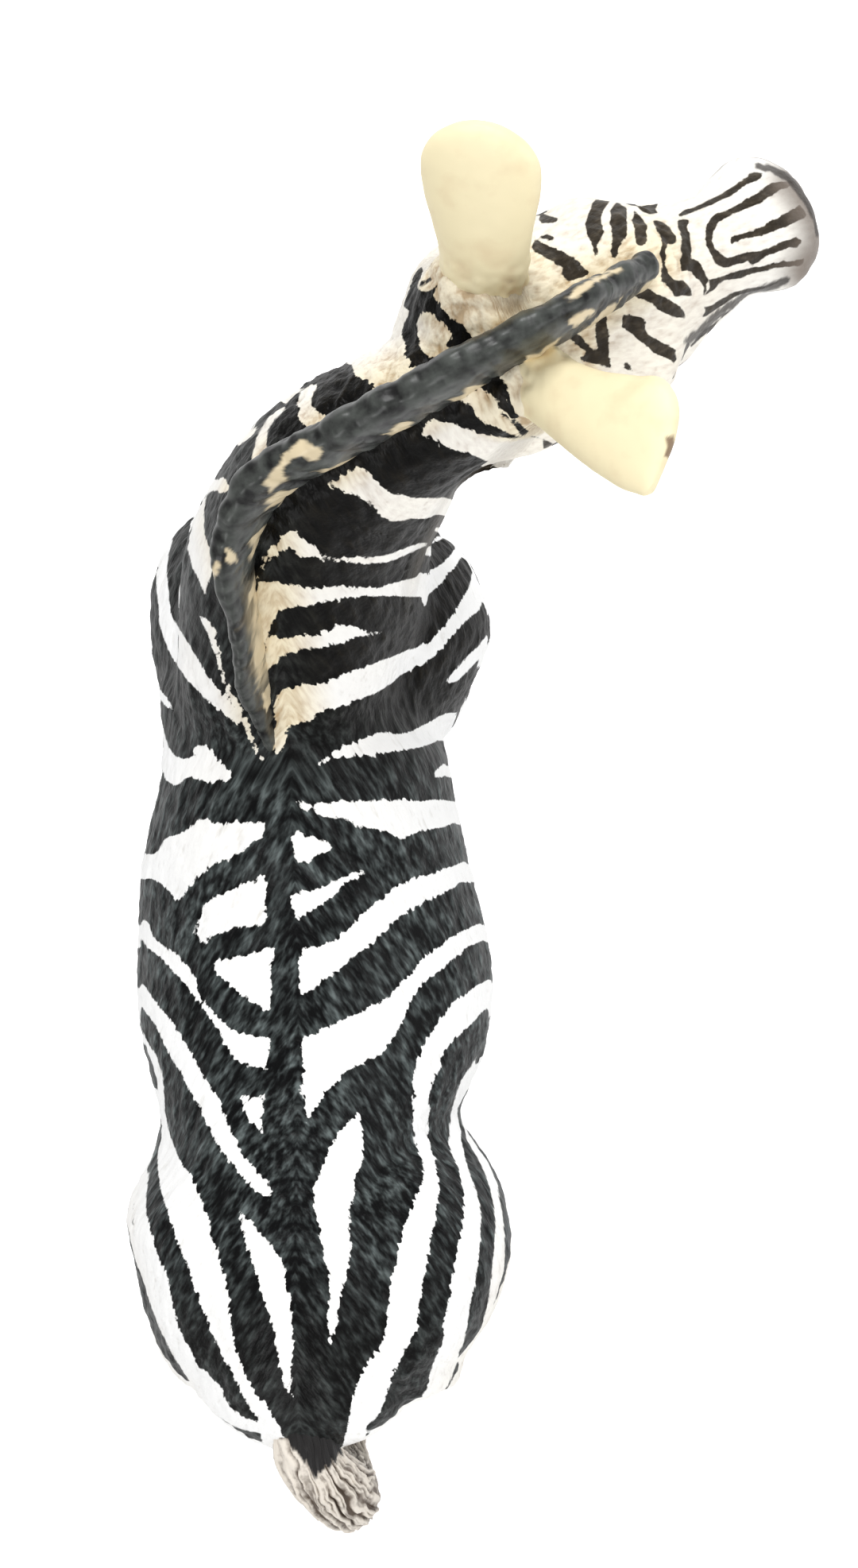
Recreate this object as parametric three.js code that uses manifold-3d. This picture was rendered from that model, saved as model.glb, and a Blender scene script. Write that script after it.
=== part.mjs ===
// A toy plains zebra in solid vinyl, standing with its neck bent and its head turned to its right.
// Eleven mouldings are glued together: torso, neck, head, two ears, mane, tail and four lower legs.
// Millimetres, +Z up, the zebra faces -Y, and the origin is on the ground under the middle of the figure.
import * as THREE from "three";
import { mergeVertices } from "three/addons/utils/BufferGeometryUtils.js";
import Module from "manifold-3d";

const wasm = await Module();
wasm.setup();

// Driving dimensions of the figure
const withersHeight = 70;
const bodyLength = 76;
const bodyWidth = 32;
const legThickness = 6;
const neckReach = 27.7;
const neckBend = 18.6;
const neckRise = 22.5;
const neckWidth = 16;
const headLength = 33.6;
const headWidth = 14.4;
const headDepth = 16;
const eyeRadius = 1.7;
const nostrilRadius = 0.9;
const earLength = 11.8;
const earWidth = 7.6;
const earThickness = 3.6;
const maneHeight = 5;
const maneThickness = 2.8;
const tailLength = 40;
const tailWidth = 7.4;

// The pose, in degrees
const degree = Math.PI / 180;
const headTurn = 58.7;
const headPitch = 35;
const headRoll = 6;
const leftEarSplay = 37;
const rightEarSplay = 44;
const earLean = 5;
const earFacing = 45;
const neckSeamTilt = 37;

// How the mouldings meet
const glueGap = 0.3;
const pegRadius = 1.5;
const pegLength = 4;
const rootDepth = 1.8;
const overrun = 150;

// How finely the skins are drawn
const bodySides = 24;
const legSides = 16;
const smallSides = 14;
const stepsPerStation = 2;

const xAxis = new THREE.Vector3(1, 0, 0);
const yAxis = new THREE.Vector3(0, 1, 0);
const zAxis = new THREE.Vector3(0, 0, 1);

// A power that keeps its sign, for superellipse sections.
const signedPower = (value, power) => Math.sign(value) * Math.abs(value) ** power;

// A closed skin through sections, each an oval with a centre, two unit directions and half sizes.
function skin(sections, around) {
  const positions = [];
  for (const s of sections) {
    for (let k = 0; k < around; k++) {
      const turn = (2 * Math.PI * k) / around;
      const across = s.halfWidth * signedPower(Math.cos(turn), s.fullness);
      const up = s.halfDepth * signedPower(Math.sin(turn), s.fullness);
      const p = s.centre.clone().addScaledVector(s.across, across).addScaledVector(s.up, up);
      positions.push(p.x, p.y, p.z);
    }
  }
  const poles = [sections[0].centre, sections[sections.length - 1].centre];
  for (const p of poles) positions.push(p.x, p.y, p.z);
  const firstPole = sections.length * around;
  const lastRing = firstPole - around;
  const index = [];
  for (let k = 0; k < around; k++) {
    const next = (k + 1) % around;
    index.push(firstPole, next, k, firstPole + 1, lastRing + k, lastRing + next);
    for (let a = 0; a < lastRing; a += around) {
      const b = a + around;
      index.push(a + k, a + next, b + next, a + k, b + next, b + k);
    }
  }
  const geometry = new THREE.BufferGeometry();
  geometry.setAttribute("position", new THREE.Float32BufferAttribute(positions, 3));
  geometry.setIndex(index);
  return solid(geometry);
}

// A geometry as a solid with its faces pointing out.
function solid(geometry) {
  geometry.deleteAttribute("normal");
  geometry.deleteAttribute("uv");
  const merged = mergeVertices(geometry, 1e-4);
  const triVerts = new Uint32Array(merged.index.array);
  const vertProperties = merged.getAttribute("position").array;
  const made = new wasm.Manifold(new wasm.Mesh({ numProp: 3, vertProperties, triVerts }));
  if (made.volume() > 0) return made;
  for (let i = 0; i < triVerts.length; i += 3) {
    [triVerts[i + 1], triVerts[i + 2]] = [triVerts[i + 2], triVerts[i + 1]];
  }
  return new wasm.Manifold(new wasm.Mesh({ numProp: 3, vertProperties, triVerts }));
}

// The rows of a table with more rows put between them on a smooth curve.
function smoothRows(rows) {
  const paths = rows[0].map(
    (_, column) => new THREE.SplineCurve(rows.map((row, k) => new THREE.Vector2(k, row[column]))),
  );
  const count = (rows.length - 1) * stepsPerStation;
  return Array.from({ length: count + 1 }, (_, i) => paths.map((path) => path.getPoint(i / count).y));
}

// Sections between an upper and a lower guide line, which sets the up direction of each.
function guidedSections(stations) {
  const centres = stations.map((s) => s.upper.clone().add(s.lower).multiplyScalar(0.5));
  return stations.map((s, i) => {
    const before = centres[Math.max(i - 1, 0)];
    const after = centres[Math.min(i + 1, centres.length - 1)];
    const up = s.upper.clone().sub(s.lower).normalize();
    return {
      centre: centres[i],
      across: up.clone().cross(after.clone().sub(before)).normalize(),
      up,
      halfWidth: s.halfWidth,
      halfDepth: 0.5 * s.upper.distanceTo(s.lower),
      fullness: s.fullness ?? 1,
    };
  });
}

// Everything beyond a plane, from a gap past it.
function beyond(plane, gap) {
  const side = xAxis.clone().cross(plane.normal).normalize();
  const third = plane.normal.clone().cross(side);
  const centre = plane.point.clone().addScaledVector(plane.normal, overrun / 2 + gap);
  const geometry = new THREE.BoxGeometry(2 * overrun, 2 * overrun, overrun);
  geometry.applyMatrix4(new THREE.Matrix4().makeBasis(side, third, plane.normal).setPosition(centre));
  return solid(geometry);
}

// A round peg centred on a plane's point and standing through it both ways.
function peg(plane, radius, length) {
  const geometry = new THREE.CylinderGeometry(radius, radius, 2 * length, legSides);
  geometry.applyQuaternion(new THREE.Quaternion().setFromUnitVectors(yAxis, plane.normal));
  geometry.translate(plane.point.x, plane.point.y, plane.point.z);
  return solid(geometry);
}

// A ball from its middle and radius.
function ball(centre, radius) {
  const geometry = new THREE.SphereGeometry(radius, smallSides, smallSides / 2);
  geometry.translate(centre.x, centre.y, centre.z);
  return solid(geometry);
}

// Torso rows: place as a share of the body's length, half width and sideways shift as shares of its
// width, top and bottom as shares of the withers' height.
const torsoShares = [
  [0.0, 0.06, 0, 0.79, 0.7],
  [0.02, 0.2, 0, 0.84, 0.62],
  [0.09, 0.34, 0, 0.91, 0.54],
  [0.17, 0.37, -0.012, 0.95, 0.51],
  [0.26, 0.372, -0.012, 0.985, 0.495],
  [0.34, 0.415, 0, 0.975, 0.48],
  [0.42, 0.45, 0, 0.945, 0.465],
  [0.52, 0.478, -0.02, 0.925, 0.455],
  [0.6, 0.46, -0.02, 0.925, 0.465],
  [0.68, 0.41, -0.02, 0.94, 0.5],
  [0.78, 0.4, -0.03, 0.955, 0.55],
  [0.87, 0.36, -0.035, 0.945, 0.6],
  [0.94, 0.285, -0.035, 0.915, 0.66],
  [0.98, 0.175, -0.035, 0.88, 0.73],
  [1.0, 0.04, -0.035, 0.84, 0.78],
];
const chestY = -0.3 * bodyLength;
const withers = new THREE.Vector3(0, chestY + 0.26 * bodyLength, withersHeight);

const barrel = skin(
  smoothRows(torsoShares).map(([along, halfWidth, shift, top, bottom]) => ({
    centre: new THREE.Vector3(
      shift * bodyWidth,
      chestY + along * bodyLength,
      0.5 * (top + bottom) * withersHeight,
    ),
    across: xAxis,
    up: zAxis,
    halfWidth: halfWidth * bodyWidth,
    halfDepth: 0.5 * (top - bottom) * withersHeight,
    fullness: 1,
  })),
  bodySides,
);

// Leg rows: height as a share of the withers' height, then the shift back, the shift out, the half
// width and the half depth as shares of the leg's thickness.
const frontLegShares = [
  [0.88, -0.5, -0.45, 0.3, 0.6],
  [0.84, -0.4, -0.2, 0.8, 1.2],
  [0.74, -0.5, 0.08, 1.08, 1.6],
  [0.63, -0.4, 0.13, 1.0, 1.45],
  [0.53, 0, 0.1, 0.82, 1.1],
  [0.44, 0.1, 0.03, 0.65, 0.8],
  [0.36, 0.07, 0, 0.51, 0.58],
  [0.31, 0, 0, 0.55, 0.6],
  [0.265, 0.03, 0, 0.49, 0.53],
  [0.185, 0.1, 0, 0.38, 0.42],
  [0.12, 0.08, 0, 0.43, 0.48],
  [0.093, 0.03, 0, 0.46, 0.52],
  [0.063, -0.1, 0, 0.42, 0.47],
  [0.046, -0.17, 0, 0.48, 0.55],
  [0, -0.3, 0, 0.58, 0.7],
];
const hindLegShares = [
  [0.93, -0.3, -0.7, 0.4, 0.8],
  [0.88, -0.2, -0.3, 0.95, 1.55],
  [0.77, -0.15, 0.03, 1.22, 2.0],
  [0.67, -0.3, 0.1, 1.15, 1.95],
  [0.57, -0.3, 0.05, 0.95, 1.6],
  [0.48, 0.17, 0, 0.73, 1.1],
  [0.405, 0.75, -0.03, 0.57, 0.8],
  [0.345, 1.2, -0.05, 0.5, 0.72],
  [0.29, 1.23, -0.03, 0.47, 0.58],
  [0.2, 1.07, 0, 0.38, 0.45],
  [0.12, 0.9, 0, 0.43, 0.5],
  [0.093, 0.82, 0, 0.46, 0.53],
  [0.063, 0.67, 0, 0.42, 0.47],
  [0.046, 0.58, 0, 0.48, 0.55],
  [0, 0.45, 0, 0.58, 0.7],
];
const legSeamShare = 0.475;
const legPlan = [
  { name: "front_left_leg", rows: frontLegShares, side: 1, acrossShare: 0.2, alongShare: 0.145 },
  { name: "front_right_leg", rows: frontLegShares, side: -1, acrossShare: -0.275, alongShare: 0.16 },
  { name: "rear_left_leg", rows: hindLegShares, side: 1, acrossShare: 0.22, alongShare: 0.803 },
  { name: "rear_right_leg", rows: hindLegShares, side: -1, acrossShare: -0.31, alongShare: 0.81 },
];

// The middle of a leg at one row of its table.
function legCentre(leg, [height, back, out]) {
  return new THREE.Vector3(
    leg.acrossShare * bodyWidth + leg.side * out * legThickness,
    chestY + leg.alongShare * bodyLength + back * legThickness,
    height * withersHeight,
  );
}

// A whole leg from inside the torso down to its flat sole.
function wholeLeg(leg) {
  return skin(
    smoothRows(leg.rows).map((row) => ({
      centre: legCentre(leg, row),
      across: xAxis,
      up: yAxis,
      halfWidth: row[3] * legThickness,
      halfDepth: row[4] * legThickness,
      fullness: 1,
    })),
    legSides,
  );
}

// The level plane where a lower leg is glued on, at the leg's middle.
function legSeam(leg) {
  const rows = smoothRows(leg.rows);
  const nearest = rows.reduce((best, row) =>
    Math.abs(row[0] - legSeamShare) < Math.abs(best[0] - legSeamShare) ? row : best,
  );
  const point = legCentre(leg, nearest).setZ(legSeamShare * withersHeight);
  return { point, normal: zAxis.clone().negate() };
}

// Neck rows: the crest and then the throat, each as shares of the bend, the reach and the rise from
// the withers, and the half width as a share of the neck's width.
const neckShares = [
  [0, -0.256, -0.178, 0, 0.36, -1.33, 0.5],
  [0, 0, -0.03, 0.03, 0.61, -1.02, 0.6],
  [-0.01, 0.268, 0.2, 0.215, 0.79, -0.78, 0.61],
  [-0.032, 0.5, 0.46, 0.53, 0.88, -0.467, 0.5],
  [0.097, 0.655, 0.658, 0.79, 0.914, -0.156, 0.42],
  [0.387, 0.748, 0.8, 0.968, 0.965, 0.09, 0.365],
  [0.715, 0.86, 0.902, 1.145, 1.01, 0.267, 0.345],
  [0.984, 0.965, 0.933, 1.237, 1.116, 0.4, 0.325],
];
const fromWithers = (bend, reach, rise) =>
  withers.clone().add(new THREE.Vector3(-bend * neckBend, -reach * neckReach, rise * neckRise));
const neckLine = smoothRows(neckShares).map((row) => ({
  upper: fromWithers(row[0], row[1], row[2]),
  lower: fromWithers(row[3], row[4], row[5]),
  halfWidth: row[6] * neckWidth,
}));
const wholeNeck = skin(guidedSections(neckLine), bodySides);
const neckSeam = {
  point: fromWithers(0, 0.42, -0.32),
  normal: new THREE.Vector3(0, -Math.sin(neckSeamTilt * degree), Math.cos(neckSeamTilt * degree)),
};

// The head's own frame: origin at the poll, +X to its right, +Y to the nose, +Z out of the forehead.
const poll = fromWithers(1, 1, 1);
const headForward = new THREE.Vector3(
  -Math.sin(headTurn * degree) * Math.cos(headPitch * degree),
  -Math.cos(headTurn * degree) * Math.cos(headPitch * degree),
  -Math.sin(headPitch * degree),
);
const levelRight = new THREE.Vector3(-Math.cos(headTurn * degree), Math.sin(headTurn * degree), 0);
const headRight = levelRight.applyAxisAngle(headForward, headRoll * degree);
const headUp = headRight.clone().cross(headForward);
const inHead = (across, along, up) =>
  poll.clone().addScaledVector(headRight, across).addScaledVector(headForward, along).addScaledVector(headUp, up);

const headSeamShares = { along: 0.02, up: -0.5 };

// Head rows: place as a share of the head's length, top and bottom as shares of its depth, and the
// half width as a share of its width.
const headShares = [
  [-0.08, -0.25, -0.62, 0.14],
  [-0.03, -0.12, -0.82, 0.35],
  [0.06, -0.055, -0.925, 0.47],
  [0.16, -0.005, -0.99, 0.51],
  [0.27, 0.03, -1.0, 0.505],
  [0.36, 0.037, -0.94, 0.465],
  [0.43, 0.02, -0.825, 0.43],
  [0.52, -0.025, -0.7, 0.36],
  [0.62, -0.055, -0.61, 0.305],
  [0.73, -0.075, -0.575, 0.285],
  [0.82, -0.08, -0.575, 0.325],
  [0.9, -0.105, -0.575, 0.34],
  [0.96, -0.16, -0.55, 0.3],
  [0.99, -0.25, -0.49, 0.2],
  [1.0, -0.33, -0.42, 0.08],
];
const skull = skin(
  guidedSections(
    smoothRows(headShares).map(([along, top, bottom, halfWidth]) => ({
      upper: inHead(0, along * headLength, top * headDepth),
      lower: inHead(0, along * headLength, bottom * headDepth),
      halfWidth: halfWidth * headWidth,
    })),
  ),
  bodySides,
);
// The head is glued on at an upright seam behind the jaws.
const headSeam = {
  point: inHead(0, headSeamShares.along * headLength, headSeamShares.up * headDepth),
  normal: headForward.clone().setZ(0).normalize(),
};

// Eyes and nostrils, on both sides of the head
const eyeShares = { across: 0.365, along: 0.4, up: -0.2 };
const nostrilShares = { across: 0.27, along: 0.93, up: -0.19 };
const pairInHead = (shares) =>
  [1, -1].map((side) =>
    inHead(side * shares.across * headWidth, shares.along * headLength, shares.up * headDepth),
  );
const eyes = pairInHead(eyeShares).map((centre) => ball(centre, eyeRadius));
const nostrils = pairInHead(nostrilShares).map((centre) => ball(centre, nostrilRadius));

// Ear rows: place as a share of the ear's length, half width as a share of its width, and half
// thickness as a share of its thickness.
const earShares = [
  [-0.13, 0.2, 0.3],
  [0, 0.29, 0.46],
  [0.15, 0.33, 0.5],
  [0.35, 0.42, 0.5],
  [0.55, 0.49, 0.45],
  [0.75, 0.49, 0.36],
  [0.9, 0.36, 0.25],
  [0.98, 0.18, 0.14],
  [1, 0.06, 0.06],
];
const earRootShares = { across: 0.27, along: 0.03, up: -0.1 };

// An ear: a leaf standing on the skull with a hollow scooped from its front.
function ear(side, splay, grow) {
  const root = inHead(
    side * earRootShares.across * headWidth,
    earRootShares.along * headLength,
    earRootShares.up * headDepth,
  );
  const axis = headUp
    .clone()
    .multiplyScalar(Math.cos(splay * degree))
    .addScaledVector(headRight, side * Math.sin(splay * degree))
    .addScaledVector(headForward, -Math.sin(earLean * degree))
    .normalize();
  const back = headForward
    .clone()
    .multiplyScalar(-Math.cos(earFacing * degree))
    .addScaledVector(headRight, -side * Math.sin(earFacing * degree));
  back.addScaledVector(axis, -back.dot(axis)).normalize();
  const across = back.clone().cross(axis).normalize();
  const leaf = (widthScale, thicknessScale, start, shift) =>
    skin(
      smoothRows(earShares)
        .filter(([along]) => along >= start)
        .map(([along, halfWidth, halfThickness]) => ({
          centre: root.clone().addScaledVector(axis, along * earLength).addScaledVector(back, shift),
          across,
          up: back,
          halfWidth: widthScale * halfWidth * earWidth + grow,
          halfDepth: thicknessScale * halfThickness * earThickness + grow,
          fullness: 1,
        })),
      smallSides,
    );
  const outer = leaf(1, 1, -1, 0);
  if (grow > 0) return outer;
  return outer.subtract(leaf(0.72, 0.8, 0.2, -0.4 * earThickness));
}

// Mane rows: the foot along the crest of the neck and then over the head, and the height above the
// skin as a share of the mane's height, with the half thickness as a share of its thickness.
const maneOnNeckShares = [
  [0, 0.02, -0.03, 0.1, 0.3],
  [-0.005, 0.14, 0.08, 0.5, 0.38],
  [-0.01, 0.268, 0.2, 0.85, 0.43],
  [-0.032, 0.5, 0.46, 1, 0.47],
  [0.097, 0.655, 0.658, 1.05, 0.47],
  [0.387, 0.748, 0.8, 1.08, 0.46],
  [0.715, 0.85, 0.902, 1.1, 0.45],
];
const maneOnHeadShares = [
  [0.08, 0.04, -0.05, 1.06, 0.43],
  [0.055, 0.17, 0, 0.85, 0.38],
  [0.03, 0.29, 0.03, 0.5, 0.33],
  [0.01, 0.38, 0.037, 0.2, 0.22],
];

// The mane as a fin with its foot sunk below the skin, grown by a gap for the groove it sits in.
function wholeMane(grow) {
  const onNeck = maneOnNeckShares.map(([bend, reach, rise, height, thickness]) => [
    ...fromWithers(bend, reach, rise).toArray(),
    height,
    thickness,
  ]);
  const onHead = maneOnHeadShares.map(([across, along, up, height, thickness]) => [
    ...inHead(across * headWidth, along * headLength, up * headDepth).toArray(),
    height,
    thickness,
  ]);
  const rows = smoothRows([...onNeck, ...onHead]);
  const feet = rows.map(([x, y, z]) => new THREE.Vector3(x, y, z));
  return skin(
    guidedSections(
      rows.map(([, , , height, thickness], i) => {
        const along = feet[Math.min(i + 1, feet.length - 1)].clone().sub(feet[Math.max(i - 1, 0)]).normalize();
        const up = zAxis.clone().addScaledVector(along, -along.z).normalize();
        return {
          upper: feet[i].clone().addScaledVector(up, height * maneHeight + grow),
          lower: feet[i].clone().addScaledVector(up, -rootDepth - grow),
          halfWidth: thickness * maneThickness + grow,
          fullness: 0.7,
        };
      }),
    ),
    smallSides,
  );
}

// Tail rows: back, down and right as shares of the tail's length, and the half width as a share of
// the tail's width.
const tailShares = [
  [-0.075, -0.02, 0, 0.3],
  [0.05, 0.022, 0.016, 0.42],
  [0.125, 0.13, 0.033, 0.45],
  [0.155, 0.28, 0.045, 0.48],
  [0.15, 0.455, 0.048, 0.48],
  [0.125, 0.655, 0.043, 0.42],
  [0.1, 0.855, 0.038, 0.28],
  [0.088, 0.955, 0.036, 0.13],
  [0.083, 0.99, 0.036, 0.05],
];
const dockShares = { across: -0.04, along: 0.975, up: 0.86 };

function wholeTail(grow) {
  const rows = smoothRows(tailShares);
  const dock = new THREE.Vector3(
    dockShares.across * bodyWidth,
    chestY + dockShares.along * bodyLength,
    dockShares.up * withersHeight,
  );
  const centres = rows.map(([back, down, across]) =>
    dock.clone().add(new THREE.Vector3(-across, back, -down).multiplyScalar(tailLength)),
  );
  return skin(
    rows.map((row, i) => {
      const before = centres[Math.max(i - 1, 0)];
      const after = centres[Math.min(i + 1, centres.length - 1)];
      const along = after.clone().sub(before).normalize();
      return {
        centre: centres[i],
        across: xAxis,
        up: along.clone().cross(xAxis).normalize(),
        halfWidth: row[3] * tailWidth + grow,
        halfDepth: row[3] * tailWidth + grow,
        fullness: 1,
      };
    }),
    smallSides,
  );
}

// The mouldings, cut from the whole forms at the glue seams
const legs = legPlan.map((leg) => ({ ...leg, whole: wholeLeg(leg), seam: legSeam(leg) }));
const mane = wholeMane(0);
const maneGroove = wholeMane(glueGap);
const tail = wholeTail(0);
const tailSocket = wholeTail(glueGap);
const ears = {
  left: ear(-1, leftEarSplay, 0).subtract(maneGroove),
  right: ear(1, rightEarSplay, 0).subtract(maneGroove),
};
const earSockets = ear(-1, leftEarSplay, glueGap).add(ear(1, rightEarSplay, glueGap));
const socketRadius = pegRadius + glueGap;
const socketLength = pegLength + glueGap;

let torso = legs.reduce((sum, leg) => sum.add(leg.whole.subtract(beyond(leg.seam, 0))), barrel.add(wholeNeck));
torso = legs.reduce((rest, leg) => rest.subtract(peg(leg.seam, socketRadius, socketLength)), torso);
torso = torso
  .subtract(beyond(neckSeam, 0))
  .subtract(peg(neckSeam, socketRadius, socketLength))
  .subtract(tailSocket)
  .subtract(maneGroove);

const neck = wholeNeck
  .add(skull)
  .intersect(beyond(neckSeam, glueGap))
  .add(peg(neckSeam, pegRadius, pegLength))
  .subtract(beyond(headSeam, 0))
  .subtract(peg(headSeam, socketRadius, socketLength))
  .subtract(maneGroove);

const head = eyes
  .reduce((sum, eye) => sum.add(eye), skull.add(wholeNeck))
  .subtract(nostrils[0].add(nostrils[1]))
  .intersect(beyond(headSeam, glueGap))
  .intersect(beyond(neckSeam, glueGap))
  .add(peg(headSeam, pegRadius, pegLength))
  .subtract(maneGroove)
  .subtract(earSockets);

const lowerLeg = (leg) =>
  leg.whole.intersect(beyond(leg.seam, glueGap)).add(peg(leg.seam, pegRadius, pegLength));

// Finishes of the vinyl: the striped hide, the plain ears, the dark mane and the grey tail
const hide = new THREE.MeshStandardMaterial({ color: 0xeeeae2, roughness: 0.5, metalness: 0 });
const earCream = new THREE.MeshStandardMaterial({ color: 0xf1e4c8, roughness: 0.55, metalness: 0 });
const maneBlack = new THREE.MeshStandardMaterial({ color: 0x2c3033, roughness: 0.45, metalness: 0 });
const tailGrey = new THREE.MeshStandardMaterial({ color: 0xa59a8e, roughness: 0.6, metalness: 0 });

// A solid as a named mesh.
function moulding(name, made, material) {
  const { vertProperties, triVerts } = made.getMesh();
  const geometry = new THREE.BufferGeometry();
  geometry.setAttribute("position", new THREE.BufferAttribute(vertProperties, 3));
  geometry.setIndex(new THREE.BufferAttribute(triVerts, 1));
  const mesh = new THREE.Mesh(geometry, material);
  mesh.name = name;
  return mesh;
}

const mouldings = new THREE.Group();
mouldings.add(
  moulding("torso", torso, hide),
  moulding("neck", neck, hide),
  moulding("head", head, hide),
  moulding("left_ear", ears.left, earCream),
  moulding("right_ear", ears.right, earCream),
  moulding("mane", mane, maneBlack),
  moulding("tail", tail, tailGrey),
  ...legs.map((leg) => moulding(leg.name, lowerLeg(leg), hide)),
);

// The origin goes to the ground under the middle of the figure.
const bounds = new THREE.Box3().setFromObject(mouldings);
const middle = bounds.getCenter(new THREE.Vector3());
mouldings.position.set(-middle.x, -middle.y, -bounds.min.z);

const figure = new THREE.Group();
figure.add(mouldings);
export default figure;
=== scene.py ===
"""A toy plains zebra in painted solid vinyl, seen from above, with its head turned to its right.

Lengths are millimetres until a mesh is made, which is in metres. The zebra faces -Y and +X is its left.
"""

import math

import bmesh
import bpy
import numpy as np
from mathutils import Matrix, Vector


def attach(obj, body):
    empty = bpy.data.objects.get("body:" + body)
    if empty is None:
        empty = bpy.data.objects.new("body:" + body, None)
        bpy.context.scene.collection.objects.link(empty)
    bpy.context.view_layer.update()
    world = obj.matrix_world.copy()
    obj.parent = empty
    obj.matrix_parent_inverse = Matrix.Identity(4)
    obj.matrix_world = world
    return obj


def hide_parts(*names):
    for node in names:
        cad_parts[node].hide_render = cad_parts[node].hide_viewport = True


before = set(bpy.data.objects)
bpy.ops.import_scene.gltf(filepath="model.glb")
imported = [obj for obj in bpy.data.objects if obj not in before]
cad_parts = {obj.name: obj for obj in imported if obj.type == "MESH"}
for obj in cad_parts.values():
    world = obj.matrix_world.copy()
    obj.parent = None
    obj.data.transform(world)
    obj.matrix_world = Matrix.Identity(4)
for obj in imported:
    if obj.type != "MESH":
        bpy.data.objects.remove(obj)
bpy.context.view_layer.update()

# Camera
# A phone held about 235 mm above the table looks almost straight down, with the zebra's nose at the
# top of the picture. The stripes below were drawn over the picture, so they use this camera as well.
photo_size = np.array([1080, 1973])
lens_px = 2760
film_mm = 36
mm = 0.001
nearest = 10 * mm
camera_place = np.array([-8.32, -6.95, 234.6])
camera_ahead = np.array([0.058, -0.0049, -1.0])
camera_ahead /= np.linalg.norm(camera_ahead)
camera_right = np.cross(camera_ahead, [0, -1, 0])
camera_right /= np.linalg.norm(camera_right)
camera_up = np.cross(camera_right, camera_ahead)


def on_photo(points):
    """Pixels of points in millimetres: offsets across and up over depth, times the lens, from the middle."""
    away = points - camera_place
    depth = away @ camera_ahead
    across = photo_size[0] / 2 + lens_px * (away @ camera_right) / depth
    down = photo_size[1] / 2 - lens_px * (away @ camera_up) / depth
    return np.stack([across, down], axis=-1), lens_px / depth


def add_object(name, data):
    """A new object in the scene."""
    made = bpy.data.objects.new(name, data)
    bpy.context.scene.collection.objects.link(made)
    return made


phone = bpy.data.cameras.new("phone")
phone.lens = lens_px * film_mm / photo_size[1]
phone.sensor_width = film_mm
phone.clip_start = nearest
camera = add_object("camera", phone)
turn = Matrix((camera_right, camera_up, -camera_ahead)).transposed()
camera.matrix_world = Matrix.Translation(Vector(camera_place * mm)) @ turn.to_4x4()
bpy.context.scene.camera = camera

# Torso
# The barrel of the body is a smooth moulding: deep chest, level back, round belly and full rump.
# Rows give the place back from the chest, half width, sideways shift, top and bottom.
middle = np.array([-12.93, 6.95, 0])
chest_y = -22.8
row_steps = 6
body_sides = 96
torso_rows = np.array([
    [0.0, 1.9, 0, 55.3, 49.0],
    [1.5, 6.4, 0, 58.8, 43.4],
    [6.8, 10.9, 0, 63.7, 37.8],
    [12.9, 11.8, -0.4, 66.5, 35.7],
    [19.8, 11.9, -0.4, 69.0, 34.7],
    [25.8, 13.3, 0, 68.3, 33.6],
    [31.9, 14.4, 0, 66.2, 32.6],
    [39.5, 15.3, -0.6, 64.8, 31.9],
    [45.6, 14.7, -0.6, 64.8, 32.6],
    [51.7, 13.1, -0.6, 65.8, 35.0],
    [59.3, 12.8, -1.0, 66.9, 38.5],
    [66.1, 11.5, -1.1, 66.2, 42.0],
    [71.4, 9.1, -1.1, 64.1, 46.2],
    [74.5, 5.6, -1.1, 61.6, 51.1],
    [76.0, 1.3, -1.1, 58.8, 54.6],
])


def smooth_rows(rows, steps):
    """Rows of a table with more put between, on the cubic through four neighbouring rows."""
    rows = np.asarray(rows, float)
    last = len(rows) - 1
    place = np.linspace(0, last, last * steps + 1)
    k = np.minimum(place.astype(int), last - 1)
    t = (place - k)[:, None]
    a, b, c, d = (rows[np.clip(k + shift, 0, last)] for shift in (-1, 0, 1, 2))
    v0 = (c - a) / 2
    v1 = (d - b) / 2
    return (2 * b - 2 * c + v0 + v1) * t**3 + (3 * c - 3 * b - 2 * v0 - v1) * t**2 + v0 * t + b


def oval_skin(centre, across, up, half_width, half_depth, around, fullness=1.0):
    """Rings on a path: centre + across * half width * cos(turn) + up * half depth * sin(turn)."""
    turn = np.linspace(0, 2 * np.pi, around, endpoint=False)
    side = np.sign(np.cos(turn)) * np.abs(np.cos(turn)) ** fullness
    rise = np.sign(np.sin(turn)) * np.abs(np.sin(turn)) ** fullness
    wide = (np.asarray(half_width)[:, None] * side)[..., None] * across[:, None, :]
    deep = (np.asarray(half_depth)[:, None] * rise)[..., None] * up[:, None, :]
    return centre[:, None, :] + wide + deep


def unit(v):
    """Vectors of length one."""
    return v / np.linalg.norm(v, axis=-1, keepdims=True)


def guided_skin(upper, lower, half_width, around, fullness=1.0):
    """Rings between an upper and a lower guide line, square to the line of their middles."""
    centre = (upper + lower) / 2
    ahead = np.gradient(centre, axis=0)
    up = unit(upper - lower)
    across = unit(np.cross(up, ahead))
    half_depth = np.linalg.norm(upper - lower, axis=1) / 2
    return oval_skin(centre, across, up, half_width, half_depth, around, fullness)


def closed_faces(rings, around):
    """Quads between rings, and fans to a pole at each end, as vertex numbers."""
    k = np.arange(around)
    n = (k + 1) % around
    base = np.arange(rings - 1)[:, None] * around
    quads = np.stack([base + k, base + n, base + around + n, base + around + k], axis=-1)
    first = rings * around
    end = (rings - 1) * around
    fans = [np.stack([n, k, np.full(around, first)], axis=-1)]
    fans.append(np.stack([end + k, end + n, np.full(around, first + 1)], axis=-1))
    return quads.reshape(-1, 4).tolist() + np.concatenate(fans).tolist()


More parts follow.
